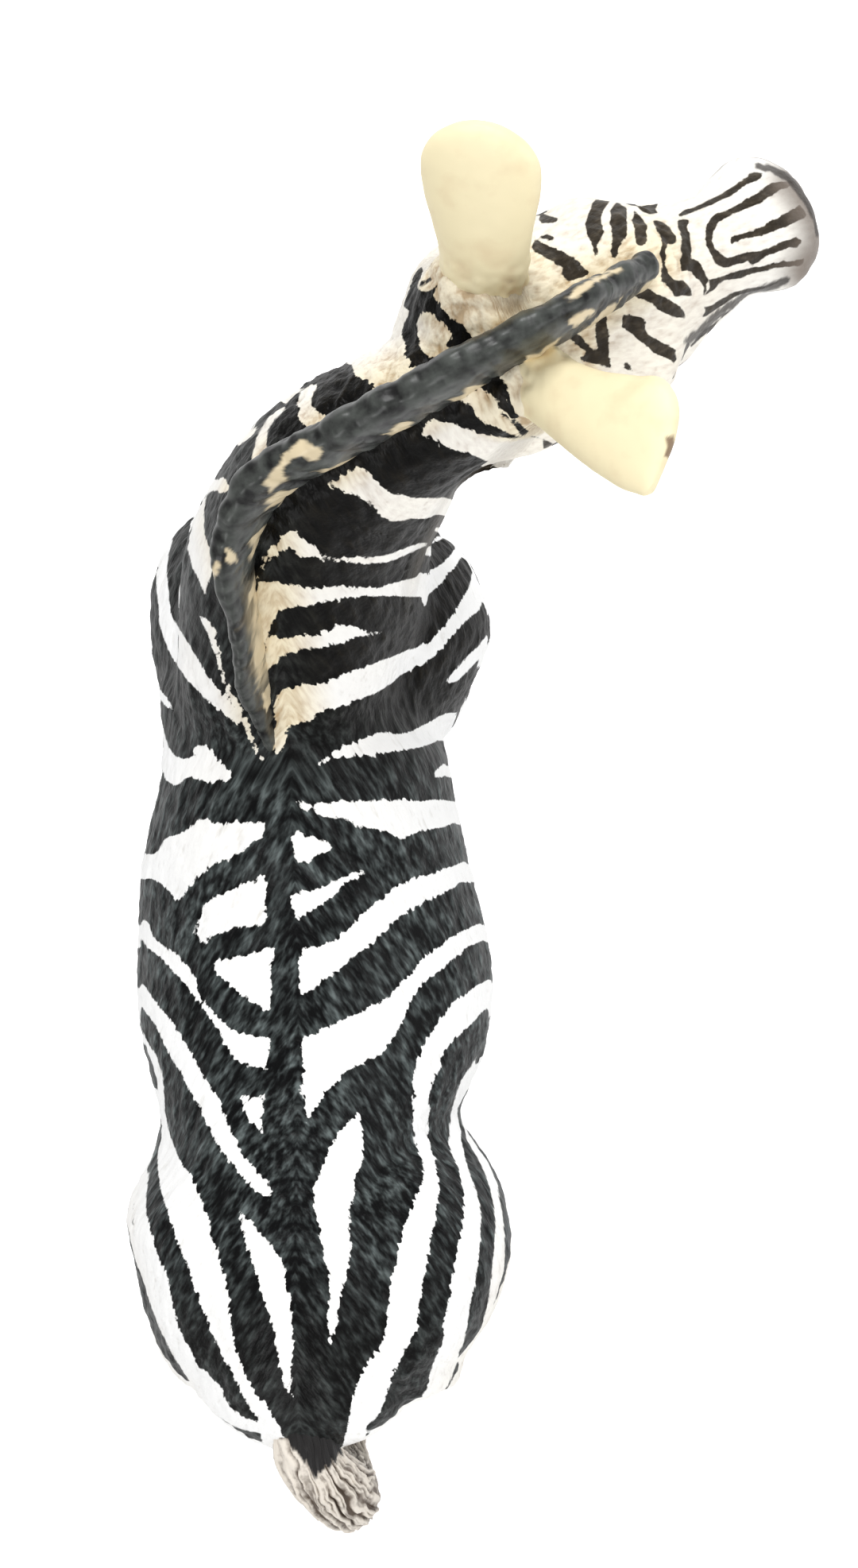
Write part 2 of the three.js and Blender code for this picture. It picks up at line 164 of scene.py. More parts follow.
def mesh_of_rings(name, grid):
    """A closed mesh in metres from a grid of rings, with its poles at the ends' middles, facing out."""
    points = np.concatenate([grid.reshape(-1, 3), grid[[0, -1]].mean(axis=1)]) * mm
    mesh = bpy.data.meshes.new(name)
    mesh.from_pydata(points.tolist(), [], closed_faces(grid.shape[0], grid.shape[1]))
    shape = bmesh.new()
    shape.from_mesh(mesh)
    bmesh.ops.recalc_face_normals(shape, faces=shape.faces)
    shape.to_mesh(mesh)
    shape.free()
    return mesh


def level_skin(rows, along, across, up, around):
    """Rings across a level or upright path, all facing the same way."""
    every_ring = (len(rows), 1)
    across = np.tile(across, every_ring).astype(float)
    up = np.tile(up, every_ring).astype(float)
    return oval_skin(along, across, up, rows[:, 0], rows[:, 1], around)


table = smooth_rows(torso_rows, row_steps)
centre = np.stack([table[:, 2], chest_y + table[:, 0], (table[:, 3] + table[:, 4]) / 2], axis=1) - middle
sizes = np.stack([table[:, 1], (table[:, 3] - table[:, 4]) / 2], axis=1)
forms = [mesh_of_rings("torso_form", level_skin(sizes, centre, [1, 0, 0], [0, 0, 1], body_sides))]

# Legs
# Each leg is one moulding from shoulder or stifle to the hoof, and its lower part is glued on below
# the elbow. Rows give the height, the shift back, the shift out, the half width and the half depth.
leg_sides = 48
front_rows = np.array([
    [61.6, -3.0, -2.7, 1.8, 3.6],
    [58.8, -2.4, -1.2, 4.8, 7.2],
    [51.8, -3.0, 0.5, 6.5, 9.6],
    [44.1, -2.4, 0.8, 6.0, 8.7],
    [37.1, 0.0, 0.6, 4.9, 6.6],
    [30.8, 0.6, 0.2, 3.9, 4.8],
    [25.2, 0.4, 0, 3.1, 3.5],
    [21.7, 0.0, 0, 3.3, 3.6],
    [18.6, 0.2, 0, 2.9, 3.2],
    [13.0, 0.6, 0, 2.3, 2.5],
    [8.4, 0.5, 0, 2.6, 2.9],
    [6.5, 0.2, 0, 2.8, 3.1],
    [4.4, -0.6, 0, 2.5, 2.8],
    [3.2, -1.0, 0, 2.9, 3.3],
    [0.0, -1.8, 0, 3.5, 4.2],
])
hind_rows = np.array([
    [65.1, -1.8, -4.2, 2.4, 4.8],
    [61.6, -1.2, -1.8, 5.7, 9.3],
    [53.9, -0.9, 0.2, 7.3, 12.0],
    [46.9, -1.8, 0.6, 6.9, 11.7],
    [39.9, -1.8, 0.3, 5.7, 9.6],
    [33.6, 1.0, 0, 4.4, 6.6],
    [28.4, 4.5, -0.2, 3.4, 4.8],
    [24.2, 7.2, -0.3, 3.0, 4.3],
    [20.3, 7.4, -0.2, 2.8, 3.5],
    [14.0, 6.4, 0, 2.3, 2.7],
    [8.4, 5.4, 0, 2.6, 3.0],
    [6.5, 4.9, 0, 2.8, 3.2],
    [4.4, 4.0, 0, 2.5, 2.8],
    [3.2, 3.5, 0, 2.9, 3.3],
    [0.0, 2.7, 0, 3.5, 4.2],
])

# Each leg's rows, its side, and where it stands.
leg_plan = {
    "front_left_leg": (front_rows, 1, 6.4, -11.8),
    "front_right_leg": (front_rows, -1, -8.8, -10.6),
    "rear_left_leg": (hind_rows, 1, 7.0, 38.2),
    "rear_right_leg": (hind_rows, -1, -9.9, 38.8),
}
for name, (rows, side, leg_x, leg_y) in leg_plan.items():
    table = smooth_rows(rows, row_steps)
    centre = np.stack([leg_x + side * table[:, 2], leg_y + table[:, 1], table[:, 0]], axis=1) - middle
    leg_grid = level_skin(table[:, 3:], centre, [1, 0, 0], [0, 1, 0], leg_sides)
    forms.append(mesh_of_rings(name + "_form", leg_grid))

# Neck
# The neck rises from the shoulders, bends to the zebra's right and carries the head. Rows give the
# crest and the throat as points, and the half width.
neck_rows = np.array([
    [0.0, 4.05, 66.0, 0.0, -13.0, 40.1, 8.0],
    [0.0, -3.0, 69.3, -0.6, -19.9, 47.0, 9.6],
    [0.2, -10.5, 74.5, -4.0, -24.9, 52.4, 9.8],
    [0.6, -16.9, 80.4, -9.9, -27.4, 59.5, 8.0],
    [-1.8, -21.2, 84.8, -14.7, -28.4, 66.5, 6.7],
    [-7.2, -23.8, 88.0, -18.0, -29.8, 72.0, 5.8],
    [-13.3, -26.9, 90.3, -21.3, -31.0, 76.0, 5.5],
    [-18.3, -29.8, 91.0, -23.0, -34.0, 79.0, 5.2],
])
table = smooth_rows(neck_rows, row_steps)
neck_grid = guided_skin(table[:, 0:3] - middle, table[:, 3:6] - middle, table[:, 6], body_sides)
forms.append(mesh_of_rings("neck_form", neck_grid))

# Head
# The head hangs nose down to the zebra's right. It has its own frame: origin at the poll, right,
# ahead to the nose, and up out of the forehead. Rows give the place ahead, top, bottom, half width.
poll = np.array([-18.6, -30.74, 92.5]) - middle
head_turn = math.radians(58.7)
head_pitch = math.radians(35)
head_roll = math.radians(6)
head_ahead = np.array([
    -math.sin(head_turn) * math.cos(head_pitch),
    -math.cos(head_turn) * math.cos(head_pitch),
    -math.sin(head_pitch),
])
level_right = np.array([-math.cos(head_turn), math.sin(head_turn), 0])
head_right = math.cos(head_roll) * level_right + math.sin(head_roll) * np.cross(head_ahead, level_right)
head_up = np.cross(head_right, head_ahead)
head_axes = np.stack([head_right, head_ahead, head_up])


def in_head(right, ahead, up):
    """Points of the head's own frame, in the figure's frame."""
    return poll + np.stack([right, ahead, up], axis=-1) @ head_axes


head_rows = np.array([
    [-2.7, -4.0, -9.9, 2.0],
    [-1.0, -1.9, -13.1, 5.0],
    [2.0, -0.9, -14.8, 6.8],
    [5.4, -0.1, -15.8, 7.3],
    [9.1, 0.5, -16.0, 7.3],
    [12.1, 0.6, -15.0, 6.7],
    [14.4, 0.3, -13.2, 6.2],
    [17.5, -0.4, -11.2, 5.2],
    [20.8, -0.9, -9.8, 4.4],
    [24.5, -1.2, -9.2, 4.1],
    [27.6, -1.3, -9.2, 4.7],
    [30.2, -1.7, -9.2, 4.9],
    [32.3, -2.6, -8.8, 4.3],
    [33.3, -4.0, -7.8, 2.9],
    [33.6, -5.3, -6.7, 1.2],
])
table = smooth_rows(head_rows, row_steps)
centred = np.zeros(len(table))
top = in_head(centred, table[:, 0], table[:, 1])
bottom = in_head(centred, table[:, 0], table[:, 2])
forms.append(mesh_of_rings("head_form", guided_skin(top, bottom, table[:, 3], body_sides)))

# The one skin of the moulding
# Torso, neck, head and legs read as one vinyl skin, so their forms are joined before they are cut
# at the glue seams. The joins are rubbed smooth, and the hair is engraved as short slanting strokes.
neck_seam = np.array([0, -14.7, 62.8])
neck_tilt = math.radians(37)
neck_normal = np.array([0, -math.sin(neck_tilt), math.cos(neck_tilt)])
spine_shift = 1.2
body_grain = 0.34
head_grain = 0.2
hair_width = 0.36
hair_length = 1.4
hair_depth = 0.13
lump_share = 1.9
head_hair_share = 0.4
body_lie = [0.5, 0.85, -0.35]
neck_lie = [0.35, 0.55, -0.75]
head_lie = head_ahead * 0.9 - head_up * 0.3
ear_root = [3.9, 1.0, -1.6]
throat = [-4.3, -30.3, 74.0]
throat_reach = [4.4, 4.4, 9.0]
throat_depth = 2.1
above_chin = (66, 70)
shoulder_reach = 9
cheek_ahead = 0.5
cheek_reach = 3.0
light_rub = (0.5, 3)
join_rub = (0.6, 70)
trim_middle = 12.0
trim_steps = 8

# Spans say where something begins and is whole, and those of four numbers also where it fades and
# ends. They are heights in z, places ahead along the nose, or distances in mm.
jaw_lean_share = 0.28
bridge_depth = 2.5
jaw_lean_ahead = (7, 12, 22, 27)
head_from_ahead = (-0.5, 2.5)
neck_from_seam = (-4, 4)
flank_off_middle = (2, 12)
flank_z = (30, 40, 66, 74)
shoulder_join_z = (28, 40)
leg_join_z = (26, 34, 52, 60)
cheek_join_z = (70, 76)
features_ahead = (-5, -3)
lumps_by_mane_mm = (6, 2)
lumps_by_ear_mm = (6.5, 4)
lumps_z = (76, 84)
hair_z = (6, 12)

# The sizes of the noises in the relief: of hair in its own measure, and of lumps in millimetres.
lattice = 64
stroke_size = 1.6
stroke_lump = 0.75
face_hair_size = 1.3
face_lump = 0.7
coarse_lump = 1.1
fine_lump = 0.5

# The line of the mane's edge, drawn over the picture, beside which the paint is cream and lumpy.
cream_line = np.array([
    (819, 325), (735, 372), (660, 412), (602, 440), (535, 481), (458, 520), (430, 550), (383, 585),
    (332, 626), (318, 665), (325, 705), (330, 760), (338, 830), (350, 900),
])
crest_px_per_mm = 18

# Where the flanks are pared or filled: place along the body, left and right, outwards.
trim_rows = np.array([
    [-29.0, -0.2, -0.6],
    [-25.0, -0.3, -0.4],
    [-20.5, -0.4, -0.3],
    [-17.5, -0.2, -1.0],
    [-14.5, 0.3, -1.4],
    [-12.0, 0.0, -1.0],
    [-9.5, -0.2, -0.1],
    [-5.0, -0.6, 0.0],
    [0.0, -0.4, 0.2],
    [5.0, -0.5, 0.4],
    [11.5, -0.4, -0.1],
    [15.5, -0.8, -0.4],
    [19.5, -1.0, -1.3],
    [22.0, -0.8, -1.6],
    [24.5, -0.6, -0.9],
    [28.0, 0.1, -0.3],
    [32.0, -0.6, -0.2],
    [36.5, -0.7, -0.9],
    [39.5, -0.3, -1.5],
    [41.5, 0.4, -0.3],
])

# What is modelled on each side of the head: place right, ahead and up, reach the same ways, and lift.
# They are the foot of the ear, brow, eye socket, eyeball, upper lid, cheekbone, jaw, hollow cheek,
# nostril wing, nostril, lips and chin.
head_features = np.array([
    [4.2, 0.6, -2.6, 3.4, 3.1, 3.0, 2.3],
    [6.0, 12.6, -4.2, 2.2, 2.6, 1.9, 1.15],
    [6.6, 14.0, -6.6, 1.8, 2.2, 1.5, -0.75],
    [6.6, 14.0, -6.5, 1.2, 1.15, 1.0, 0.95],
    [6.6, 13.9, -5.2, 1.4, 1.8, 0.45, 0.35],
    [5.4, 18.2, -6.2, 1.6, 2.6, 0.9, 0.45],
    [7.0, 4.6, -9.8, 2.6, 3.6, 3.6, 1.0],
    [5.0, 19.6, -9.0, 1.8, 2.6, 1.6, -0.4],
    [4.6, 29.6, -4.8, 1.6, 1.9, 1.5, 0.35],
    [4.5, 30.9, -5.2, 0.9, 0.85, 0.6, -1.25],
    [4.6, 28.6, -7.5, 2.2, 4.2, 0.38, -0.42],
    [2.2, 31.0, -8.9, 2.4, 1.9, 1.4, 0.4],
])


def step(low, high, value):
    """A smooth rise from 0 at low to 1 at high."""
    t = np.clip((value - low) / (high - low), 0, 1)
    return t * t * (3 - 2 * t)


def between(value, start, whole, fading, end):
    """A smooth rise from start to whole, and a fall from fading to end."""
    return step(start, whole, value) * step(end, fading, value)


def blend(one, other, share):
    """One value, giving way to the other by its share."""
    return one * (1 - share) + other * share


def grain(points, seed):
    """Noise from -1 to 1: random heights on a unit lattice, joined smoothly between eight corners."""
    heights = np.random.default_rng(seed).uniform(-1, 1, (lattice, lattice, lattice))
    low = np.floor(points).astype(int)
    t = points - low
    t = t * t * (3 - 2 * t)
    total = np.zeros(len(points))
    for i, j, k in np.ndindex(2, 2, 2):
        share = np.abs([1 - i, 1 - j, 1 - k] - t).prod(axis=1)
        total += share * heights[tuple(((low + [i, j, k]) % lattice).T)]
    return total


def combed(points, lie):
    """Points in the measure of the hair: hair's widths across its lie, and hair's lengths along it."""
    lie = unit(lie)
    along = (points * lie).sum(axis=1, keepdims=True)
    return (points - along * lie) / hair_width + along * lie / hair_length


def hair_places(skin):
    """Combed places, alike left and right, counted from the neck seam so that body, neck and head join."""
    spot, _, _, head_share, neck_share = regions(skin)
    from_seam = spot - neck_seam
    from_seam[:, 0] = np.abs(from_seam[:, 0] + spine_shift)
    over_body = combed(from_seam, np.tile(body_lie, (len(skin), 1)))
    over_neck = combed(from_seam, np.tile(neck_lie, (len(skin), 1)))
    over_head = combed(skin - poll, np.tile(head_lie, (len(skin), 1)))
    over_head = over_head + combed((poll + middle - neck_seam)[None, :], np.array([neck_lie]))
    places = blend(over_body, over_neck, neck_share[:, None])
    return blend(places, over_head, head_share[:, None])


def line_gap(pixels, line):
    """The distance from each pixel to the nearest stretch of a line."""
    run = line[1:] - line[:-1]
    past = pixels[:, None, :] - line[:-1]
    along = np.clip((past * run).sum(axis=2) / (run**2).sum(axis=1), 0, 1)
    return np.sqrt(((past - along[..., None] * run) ** 2).sum(axis=2).min(axis=1))


def mirrored(head_spot):
    """Places in the head's frame, with those on its left side put over on its right."""
    return head_spot * np.sign(head_spot[:, :1] + 1e-9) ** [1, 0, 0]


def ear_gap(head_spot):
    """The distance of places in the head's frame from the foot of the nearer ear."""
    return np.linalg.norm(mirrored(head_spot) - ear_root, axis=1)


def joined_skin(parts, voxel):
    """One closed mesh over several forms, from a voxel remesh of all their faces together."""
    together = bmesh.new()
    for form in parts:
        together.from_mesh(form)
    mesh = bpy.data.meshes.new("together")
    together.to_mesh(mesh)
    together.free()
    holder = add_object("together", mesh)
    shrink = holder.modifiers.new("one skin", "REMESH")
    shrink.mode = "VOXEL"
    shrink.voxel_size = voxel * mm
    bpy.context.view_layer.update()
    whole = bpy.data.meshes.new_from_object(holder.evaluated_get(bpy.context.evaluated_depsgraph_get()))
    bpy.data.objects.remove(holder)
    bpy.data.meshes.remove(mesh)
    return whole


def points_of(mesh):
    """A mesh's points in millimetres."""
    found = np.empty(len(mesh.vertices) * 3, np.float32)
    mesh.vertices.foreach_get("co", found)
    return found.reshape(-1, 3).astype(float) / mm


def move_to(mesh, points):
    """Puts a mesh's points at new places, and returns its unit normals there."""
    mesh.vertices.foreach_set("co", (points * mm).astype(np.float32).ravel())
    mesh.update()
    found = np.empty(len(points) * 3, np.float32)
    mesh.vertices.foreach_get("normal", found)
    return found.reshape(-1, 3).astype(float)


def rubbed(points, ends, strength, passes):
    """Points moved towards the mean of their neighbours, again and again, by a share for each point."""
    count = len(points)
    ties = np.bincount(ends[:, 0], minlength=count)
    for _ in range(passes):
        mean = np.stack([np.bincount(ends[:, 0], points[ends[:, 1], k], count) for k in range(3)], axis=1)
        points = points + strength[:, None] * (mean / ties[:, None] - points)
    return points


def neighbours(mesh):
    """Every edge of a mesh both ways round."""
    edges = np.empty(len(mesh.edges) * 2, np.int32)
    mesh.edges.foreach_get("vertices", edges)
    edges = edges.reshape(-1, 2)
    return np.concatenate([edges, edges[:, ::-1]])


def jaw_lean(head_spot):
    """How far the lower face leans right: a share of its depth below the bridge of the nose."""
    below = np.maximum(-head_spot[:, 2] - bridge_depth, 0)
    return jaw_lean_share * below * between(head_spot[:, 1], *jaw_lean_ahead)


def regions(skin):
    """Places in the drawing's frame and the head's, how far past the neck seam, and head and neck shares."""
    spot = skin + middle
    off_neck_seam = (spot - neck_seam) @ neck_normal
    head_spot = (skin - poll) @ head_axes.T
    head_spot[:, 0] -= jaw_lean(head_spot)
    head_share = step(*head_from_ahead, head_spot[:, 1]) * step(*above_chin, skin[:, 2])
    neck_share = step(*neck_from_seam, off_neck_seam) * (1 - head_share)
    return spot, head_spot, off_neck_seam, head_share, neck_share


def trimmed(skin, z, head_share):
    """How far the flanks go outwards, left of their middle and right of it, by the rows of the trim."""
    trim = smooth_rows(trim_rows, trim_steps)
    sideways = skin[:, 0] - trim_middle
    share = step(*flank_off_middle, np.abs(sideways)) * (1 - head_share) * between(z, *flank_z)
    left = np.interp(skin[:, 1], trim[:, 0], trim[:, 1])
    right = np.interp(skin[:, 1], trim[:, 0], trim[:, 2])
    return share * np.where(sideways > 0, left, -right)


def modelled(mesh, voxel):
    """The joined skin, rubbed smooth and trimmed, with the head's features and the hair worked in."""
    skin = points_of(mesh)
    ends = neighbours(mesh)
    _, head_spot, off_neck_seam, head_share, _ = regions(skin)
    z = skin[:, 2]
    at_shoulder = np.exp(-((off_neck_seam / shoulder_reach) ** 2)) * step(*shoulder_join_z, z)
    at_cheek = np.exp(-(((head_spot[:, 1] - cheek_ahead) / cheek_reach) ** 2)) * step(*cheek_join_z, z)
    at_joins = np.clip(at_shoulder + between(z, *leg_join_z) + 0.5 * at_cheek, 0, 1)
    fine = (body_grain / voxel) ** 2
    for (strength, passes), where in ((light_rub, np.ones(len(skin))), (join_rub, at_joins)):
        skin = rubbed(skin, ends, strength * where, round(passes * fine))
    skin[:, 0] += trimmed(skin, z, head_share)
    skin = skin + (jaw_lean(head_spot) * head_share)[:, None] * head_right

    normal = move_to(mesh, skin)
    head_spot = regions(skin)[1]
    lift = np.zeros(len(skin))
    for row in head_features:
        lift += row[6] * np.exp(-(((mirrored(head_spot) - row[:3]) / row[3:6]) ** 2).sum(axis=1))
    near_head = step(*features_ahead, head_spot[:, 1]) * step(*above_chin, skin[:, 2])
    at_throat = np.exp(-(((skin - throat) / throat_reach) ** 2).sum(axis=1))
    skin = skin + normal * (lift * near_head - throat_depth * at_throat)[:, None]

    smooth_normal = move_to(mesh, skin)
    spot, head_spot, _, head_share, _ = regions(skin)
    places = hair_places(skin)
    strokes = grain(places / stroke_size, 1) + 0.5 * grain(spot / stroke_lump, 3)
    small = 0.6 * grain(places / face_hair_size, 6) + 0.6 * grain(spot / face_lump, 4)
    to_mane = line_gap(on_photo(skin)[0], cream_line) / crest_px_per_mm
    beside = np.maximum(step(*lumps_by_mane_mm, to_mane), step(*lumps_by_ear_mm, ear_gap(head_spot)))
    lumps = grain(spot / coarse_lump, 7) + 0.5 * grain(spot / fine_lump, 8)
    lumps = lumps * beside * step(*lumps_z, skin[:, 2])
    relief = strokes * (1 - head_share) * step(*hair_z, skin[:, 2])
    relief = relief + head_hair_share * small * head_share + lump_share * lumps
    return skin + smooth_normal * (hair_depth * relief)[:, None], smooth_normal, relief, places

# The stripes
# They are painted by hand in slate black on white, with wavering edges. Each outline below was drawn
# over the picture, in its pixels, and falls on the skin as the camera sees it from above.
white_outlines = [
    [(185, 890), (203, 905), (207, 924), (212, 940), (220, 951), (230, 955), (245, 951), (243, 943),
     (250, 938), (260, 938), (268, 946), (273, 955), (280, 960), (287, 968), (292, 974), (290, 983),
     (275, 982), (262, 985), (250, 979), (240, 977), (232, 980), (226, 987), (218, 988), (210, 982),
     (203, 967), (185, 985)],
    [(190, 862), (202, 868), (210, 878), (219, 893), (210, 890), (202, 880), (190, 885)],
    [(165, 1078), (181, 1074), (192, 1075), (200, 1070), (207, 1055), (232, 1048), (240, 1040), (250, 1031),
     (258, 1030), (268, 1034), (275, 1037), (290, 1035), (297, 1033), (310, 1036), (322, 1035), (335, 1033),
     (334, 1045), (330, 1055), (318, 1058), (300, 1075), (285, 1080), (270, 1088), (258, 1097), (245, 1108),
     (236, 1117), (230, 1128), (225, 1134), (218, 1130), (212, 1120), (200, 1110), (190, 1105), (180, 1107),
     (165, 1112)],
    [(334, 1103), (328, 1103), (318, 1110), (305, 1112), (295, 1117), (285, 1123), (272, 1128), (260, 1136),
     (254, 1148), (250, 1160), (246, 1168), (246, 1174), (252, 1185), (256, 1190), (262, 1182), (270, 1177),
     (285, 1172), (295, 1168), (310, 1165), (320, 1166), (330, 1164), (335, 1155), (335, 1140),
     (337, 1120)],
    [(342, 1192), (335, 1192), (325, 1196), (315, 1202), (300, 1203), (280, 1207), (268, 1213), (272, 1222),
     (280, 1230), (290, 1240), (300, 1250), (312, 1255), (320, 1262), (330, 1268), (338, 1272), (341, 1262),
     (340, 1240), (341, 1220), (345, 1205)],
    [(150, 1140), (176, 1150), (188, 1163), (192, 1178), (205, 1190), (222, 1200), (235, 1215), (245, 1230),
     (250, 1250), (262, 1268), (275, 1282), (285, 1292), (298, 1299), (320, 1303), (339, 1306), (338, 1325),
     (336, 1346), (318, 1341), (300, 1336), (290, 1325), (282, 1312), (272, 1290), (255, 1268), (240, 1247),
     (225, 1230), (212, 1215), (200, 1203), (185, 1192), (178, 1180), (173, 1166), (150, 1160)],
    [(150, 1205), (170, 1218), (175, 1232), (185, 1245), (195, 1260), (205, 1273), (215, 1283), (225, 1300),
     (240, 1325), (252, 1345), (262, 1365), (275, 1380), (280, 1395), (287, 1415), (295, 1430), (302, 1450),
     (315, 1465), (328, 1478), (338, 1486), (340, 1500), (340, 1513), (325, 1500), (310, 1485), (297, 1470),
     (280, 1450), (268, 1430), (255, 1400), (240, 1375), (225, 1345), (215, 1330), (205, 1310), (196, 1290),
     (185, 1275), (175, 1262), (168, 1247), (150, 1235)],
    [(150, 1275), (172, 1288), (178, 1300), (188, 1315), (198, 1330), (205, 1355), (207, 1380), (208, 1400),
     (213, 1425), (222, 1450), (232, 1470), (240, 1478), (248, 1495), (255, 1515), (262, 1535), (268, 1560),
     (275, 1580), (281, 1600), (287, 1625), (290, 1650), (291, 1675), (297, 1700), (305, 1715), (308, 1730),
     (317, 1745), (325, 1757), (335, 1768), (345, 1785), (352, 1797), (357, 1808), (355, 1830), (330, 1815),
     (327, 1790), (315, 1772), (305, 1755), (297, 1735), (285, 1715), (275, 1695), (266, 1675), (258, 1655),
     (248, 1630), (240, 1605), (235, 1590), (225, 1570), (218, 1545), (210, 1520), (203, 1500), (199, 1475),
     (198, 1440), (198, 1400), (195, 1370), (187, 1350), (150, 1350)],
    [(196, 1430), (192, 1450), (187, 1480), (184, 1505), (184, 1525), (190, 1550), (197, 1575), (203, 1590),
     (210, 1605), (216, 1635), (222, 1660), (225, 1675), (235, 1690), (243, 1705), (250, 1720), (262, 1728),
     (270, 1738), (280, 1750), (285, 1765), (295, 1775), (305, 1783), (318, 1788), (327, 1790), (345, 1795),
     (350, 1803), (330, 1803), (305, 1799), (290, 1792), (270, 1779), (255, 1764), (240, 1744), (225, 1719),
     (212, 1694), (200, 1669), (190, 1643), (180, 1615), (173, 1590), (169, 1560), (168, 1535), (170, 1510),
     (176, 1480), (186, 1450), (194, 1428)],
    [(305, 1379), (320, 1381), (331, 1379), (331, 1395), (328, 1408), (331, 1425), (322, 1418), (313, 1408),
     (305, 1395)],
    [(302, 1527), (312, 1535), (322, 1545), (333, 1558), (345, 1570), (353, 1583), (358, 1602), (363, 1625),
     (367, 1650), (368, 1675), (368, 1700), (367, 1725), (367, 1745), (370, 1764), (366, 1763), (358, 1745),
     (353, 1725), (348, 1700), (345, 1675), (338, 1650), (328, 1625), (322, 1600), (315, 1580), (309, 1562),
     (304, 1545)],
    [(453, 1400), (445, 1405), (437, 1413), (427, 1425), (420, 1438), (412, 1450), (408, 1465), (402, 1480),
     (395, 1493), (396, 1510), (398, 1530), (403, 1550), (406, 1570), (411, 1590), (414, 1615), (414, 1630),
     (413, 1650), (412, 1670), (416, 1690), (418, 1685), (423, 1672), (426, 1660), (427, 1645), (430, 1630),
     (435, 1612), (438, 1600), (441, 1575), (440, 1550), (440, 1515), (447, 1500), (446, 1482), (454, 1468),
     (458, 1450), (458, 1430), (455, 1415)],
    [(374, 1008), (383, 1010), (393, 1014), (400, 1010), (415, 1009), (440, 1007), (470, 1008), (500, 1007),
     (510, 1005), (525, 1009), (545, 1006), (562, 1007), (575, 1011), (600, 1012), (600, 1030), (578, 1032),
     (572, 1035), (560, 1040), (545, 1043), (530, 1045), (518, 1049), (505, 1056), (497, 1052), (485, 1047),
     (470, 1042), (455, 1042), (445, 1036), (432, 1030), (415, 1028), (400, 1024), (390, 1018),
     (380, 1018)],
    [(374, 1047), (368, 1055), (369, 1070), (375, 1083), (385, 1085), (392, 1082), (400, 1077), (410, 1072),
     (417, 1066), (412, 1060), (400, 1055), (388, 1052)],
    [(367, 1125), (380, 1122), (392, 1122), (400, 1118), (410, 1115), (425, 1108), (440, 1100), (450, 1097),
     (457, 1099), (448, 1107), (435, 1112), (425, 1122), (415, 1130), (405, 1138), (395, 1145), (385, 1150),
     (375, 1158), (368, 1145), (364, 1130)],
    [(378, 1193), (390, 1192), (400, 1190), (412, 1188), (425, 1180), (440, 1168), (450, 1155), (462, 1145),
     (475, 1135), (487, 1125), (500, 1115), (510, 1110), (525, 1105), (545, 1100), (560, 1093), (575, 1088),
     (588, 1082), (610, 1080), (612, 1105), (595, 1112), (590, 1110), (578, 1110), (570, 1118), (560, 1122),
     (545, 1130), (530, 1137), (515, 1145), (500, 1155), (490, 1165), (478, 1177), (465, 1190), (450, 1200),
     (437, 1210), (425, 1222), (412, 1230), (400, 1240), (390, 1247), (378, 1252), (377, 1240), (378, 1222),
     (377, 1207)],
    [(640, 1150), (607, 1160), (590, 1168), (575, 1175), (560, 1185), (548, 1195), (535, 1203), (525, 1215),
     (515, 1228), (500, 1240), (490, 1255), (470, 1265), (450, 1275), (425, 1287), (403, 1297), (398, 1302),
     (379, 1305), (381, 1325), (382, 1345), (380, 1370), (384, 1390), (387, 1410), (395, 1398), (403, 1385),
     (412, 1372), (425, 1362), (433, 1350), (450, 1340), (465, 1335), (480, 1325), (490, 1312), (500, 1300),
     (508, 1280), (517, 1258), (525, 1245), (535, 1235), (545, 1228), (558, 1218), (570, 1207), (582, 1200),
     (585, 1193), (600, 1187), (612, 1180), (640, 1172)],
    [(640, 1222), (620, 1230), (600, 1240), (585, 1252), (570, 1262), (560, 1275), (552, 1285), (545, 1297),
     (537, 1308), (530, 1320), (525, 1335), (521, 1355), (520, 1375), (520, 1415), (522, 1435), (527, 1450),
     (533, 1465), (533, 1482), (525, 1500), (520, 1515), (512, 1530), (508, 1545), (503, 1565), (499, 1585),
     (495, 1602), (490, 1620), (490, 1645), (487, 1665), (484, 1680), (475, 1700), (462, 1717), (450, 1740),
     (445, 1760), (440, 1775), (439, 1790), (435, 1805), (430, 1825), (445, 1830), (460, 1812), (461, 1793),
     (470, 1788), (478, 1778), (483, 1765), (488, 1750), (492, 1735), (498, 1720), (508, 1705), (515, 1690),
     (524, 1675), (526, 1650), (531, 1630), (534, 1605), (537, 1585), (541, 1565), (546, 1545), (550, 1520),
     (552, 1500), (551, 1480), (548, 1460), (542, 1443), (538, 1425), (541, 1400), (540, 1378), (545, 1360),
     (555, 1340), (557, 1325), (567, 1313), (580, 1300), (592, 1290), (605, 1275), (620, 1262),
     (640, 1255)],
    [(640, 1300), (618, 1318), (607, 1322), (600, 1330), (590, 1345), (580, 1360), (573, 1380), (568, 1400),
     (566, 1420), (565, 1440), (570, 1455), (577, 1470), (582, 1490), (584, 1505), (582, 1545), (577, 1565),
     (573, 1585), (570, 1605), (567, 1620), (565, 1640), (560, 1657), (558, 1675), (557, 1690), (550, 1705),
     (542, 1725), (538, 1745), (530, 1760), (522, 1775), (505, 1783), (490, 1790), (475, 1797), (462, 1801),
     (480, 1815), (520, 1795), (537, 1774), (545, 1768), (552, 1755), (563, 1745), (570, 1728), (575, 1715),
     (578, 1702), (583, 1690), (587, 1675), (590, 1655), (592, 1640), (597, 1620), (600, 1600), (603, 1580),
     (605, 1540), (605, 1520), (600, 1500), (592, 1480), (586, 1460), (580, 1430), (582, 1410), (590, 1390),
     (598, 1370), (603, 1352), (640, 1335)],
    [(589, 1424), (592, 1440), (600, 1455), (610, 1475), (617, 1495), (622, 1520), (624, 1545), (622, 1570),
     (620, 1590), (618, 1610), (615, 1635), (610, 1655), (605, 1675), (598, 1690), (590, 1700), (582, 1715),
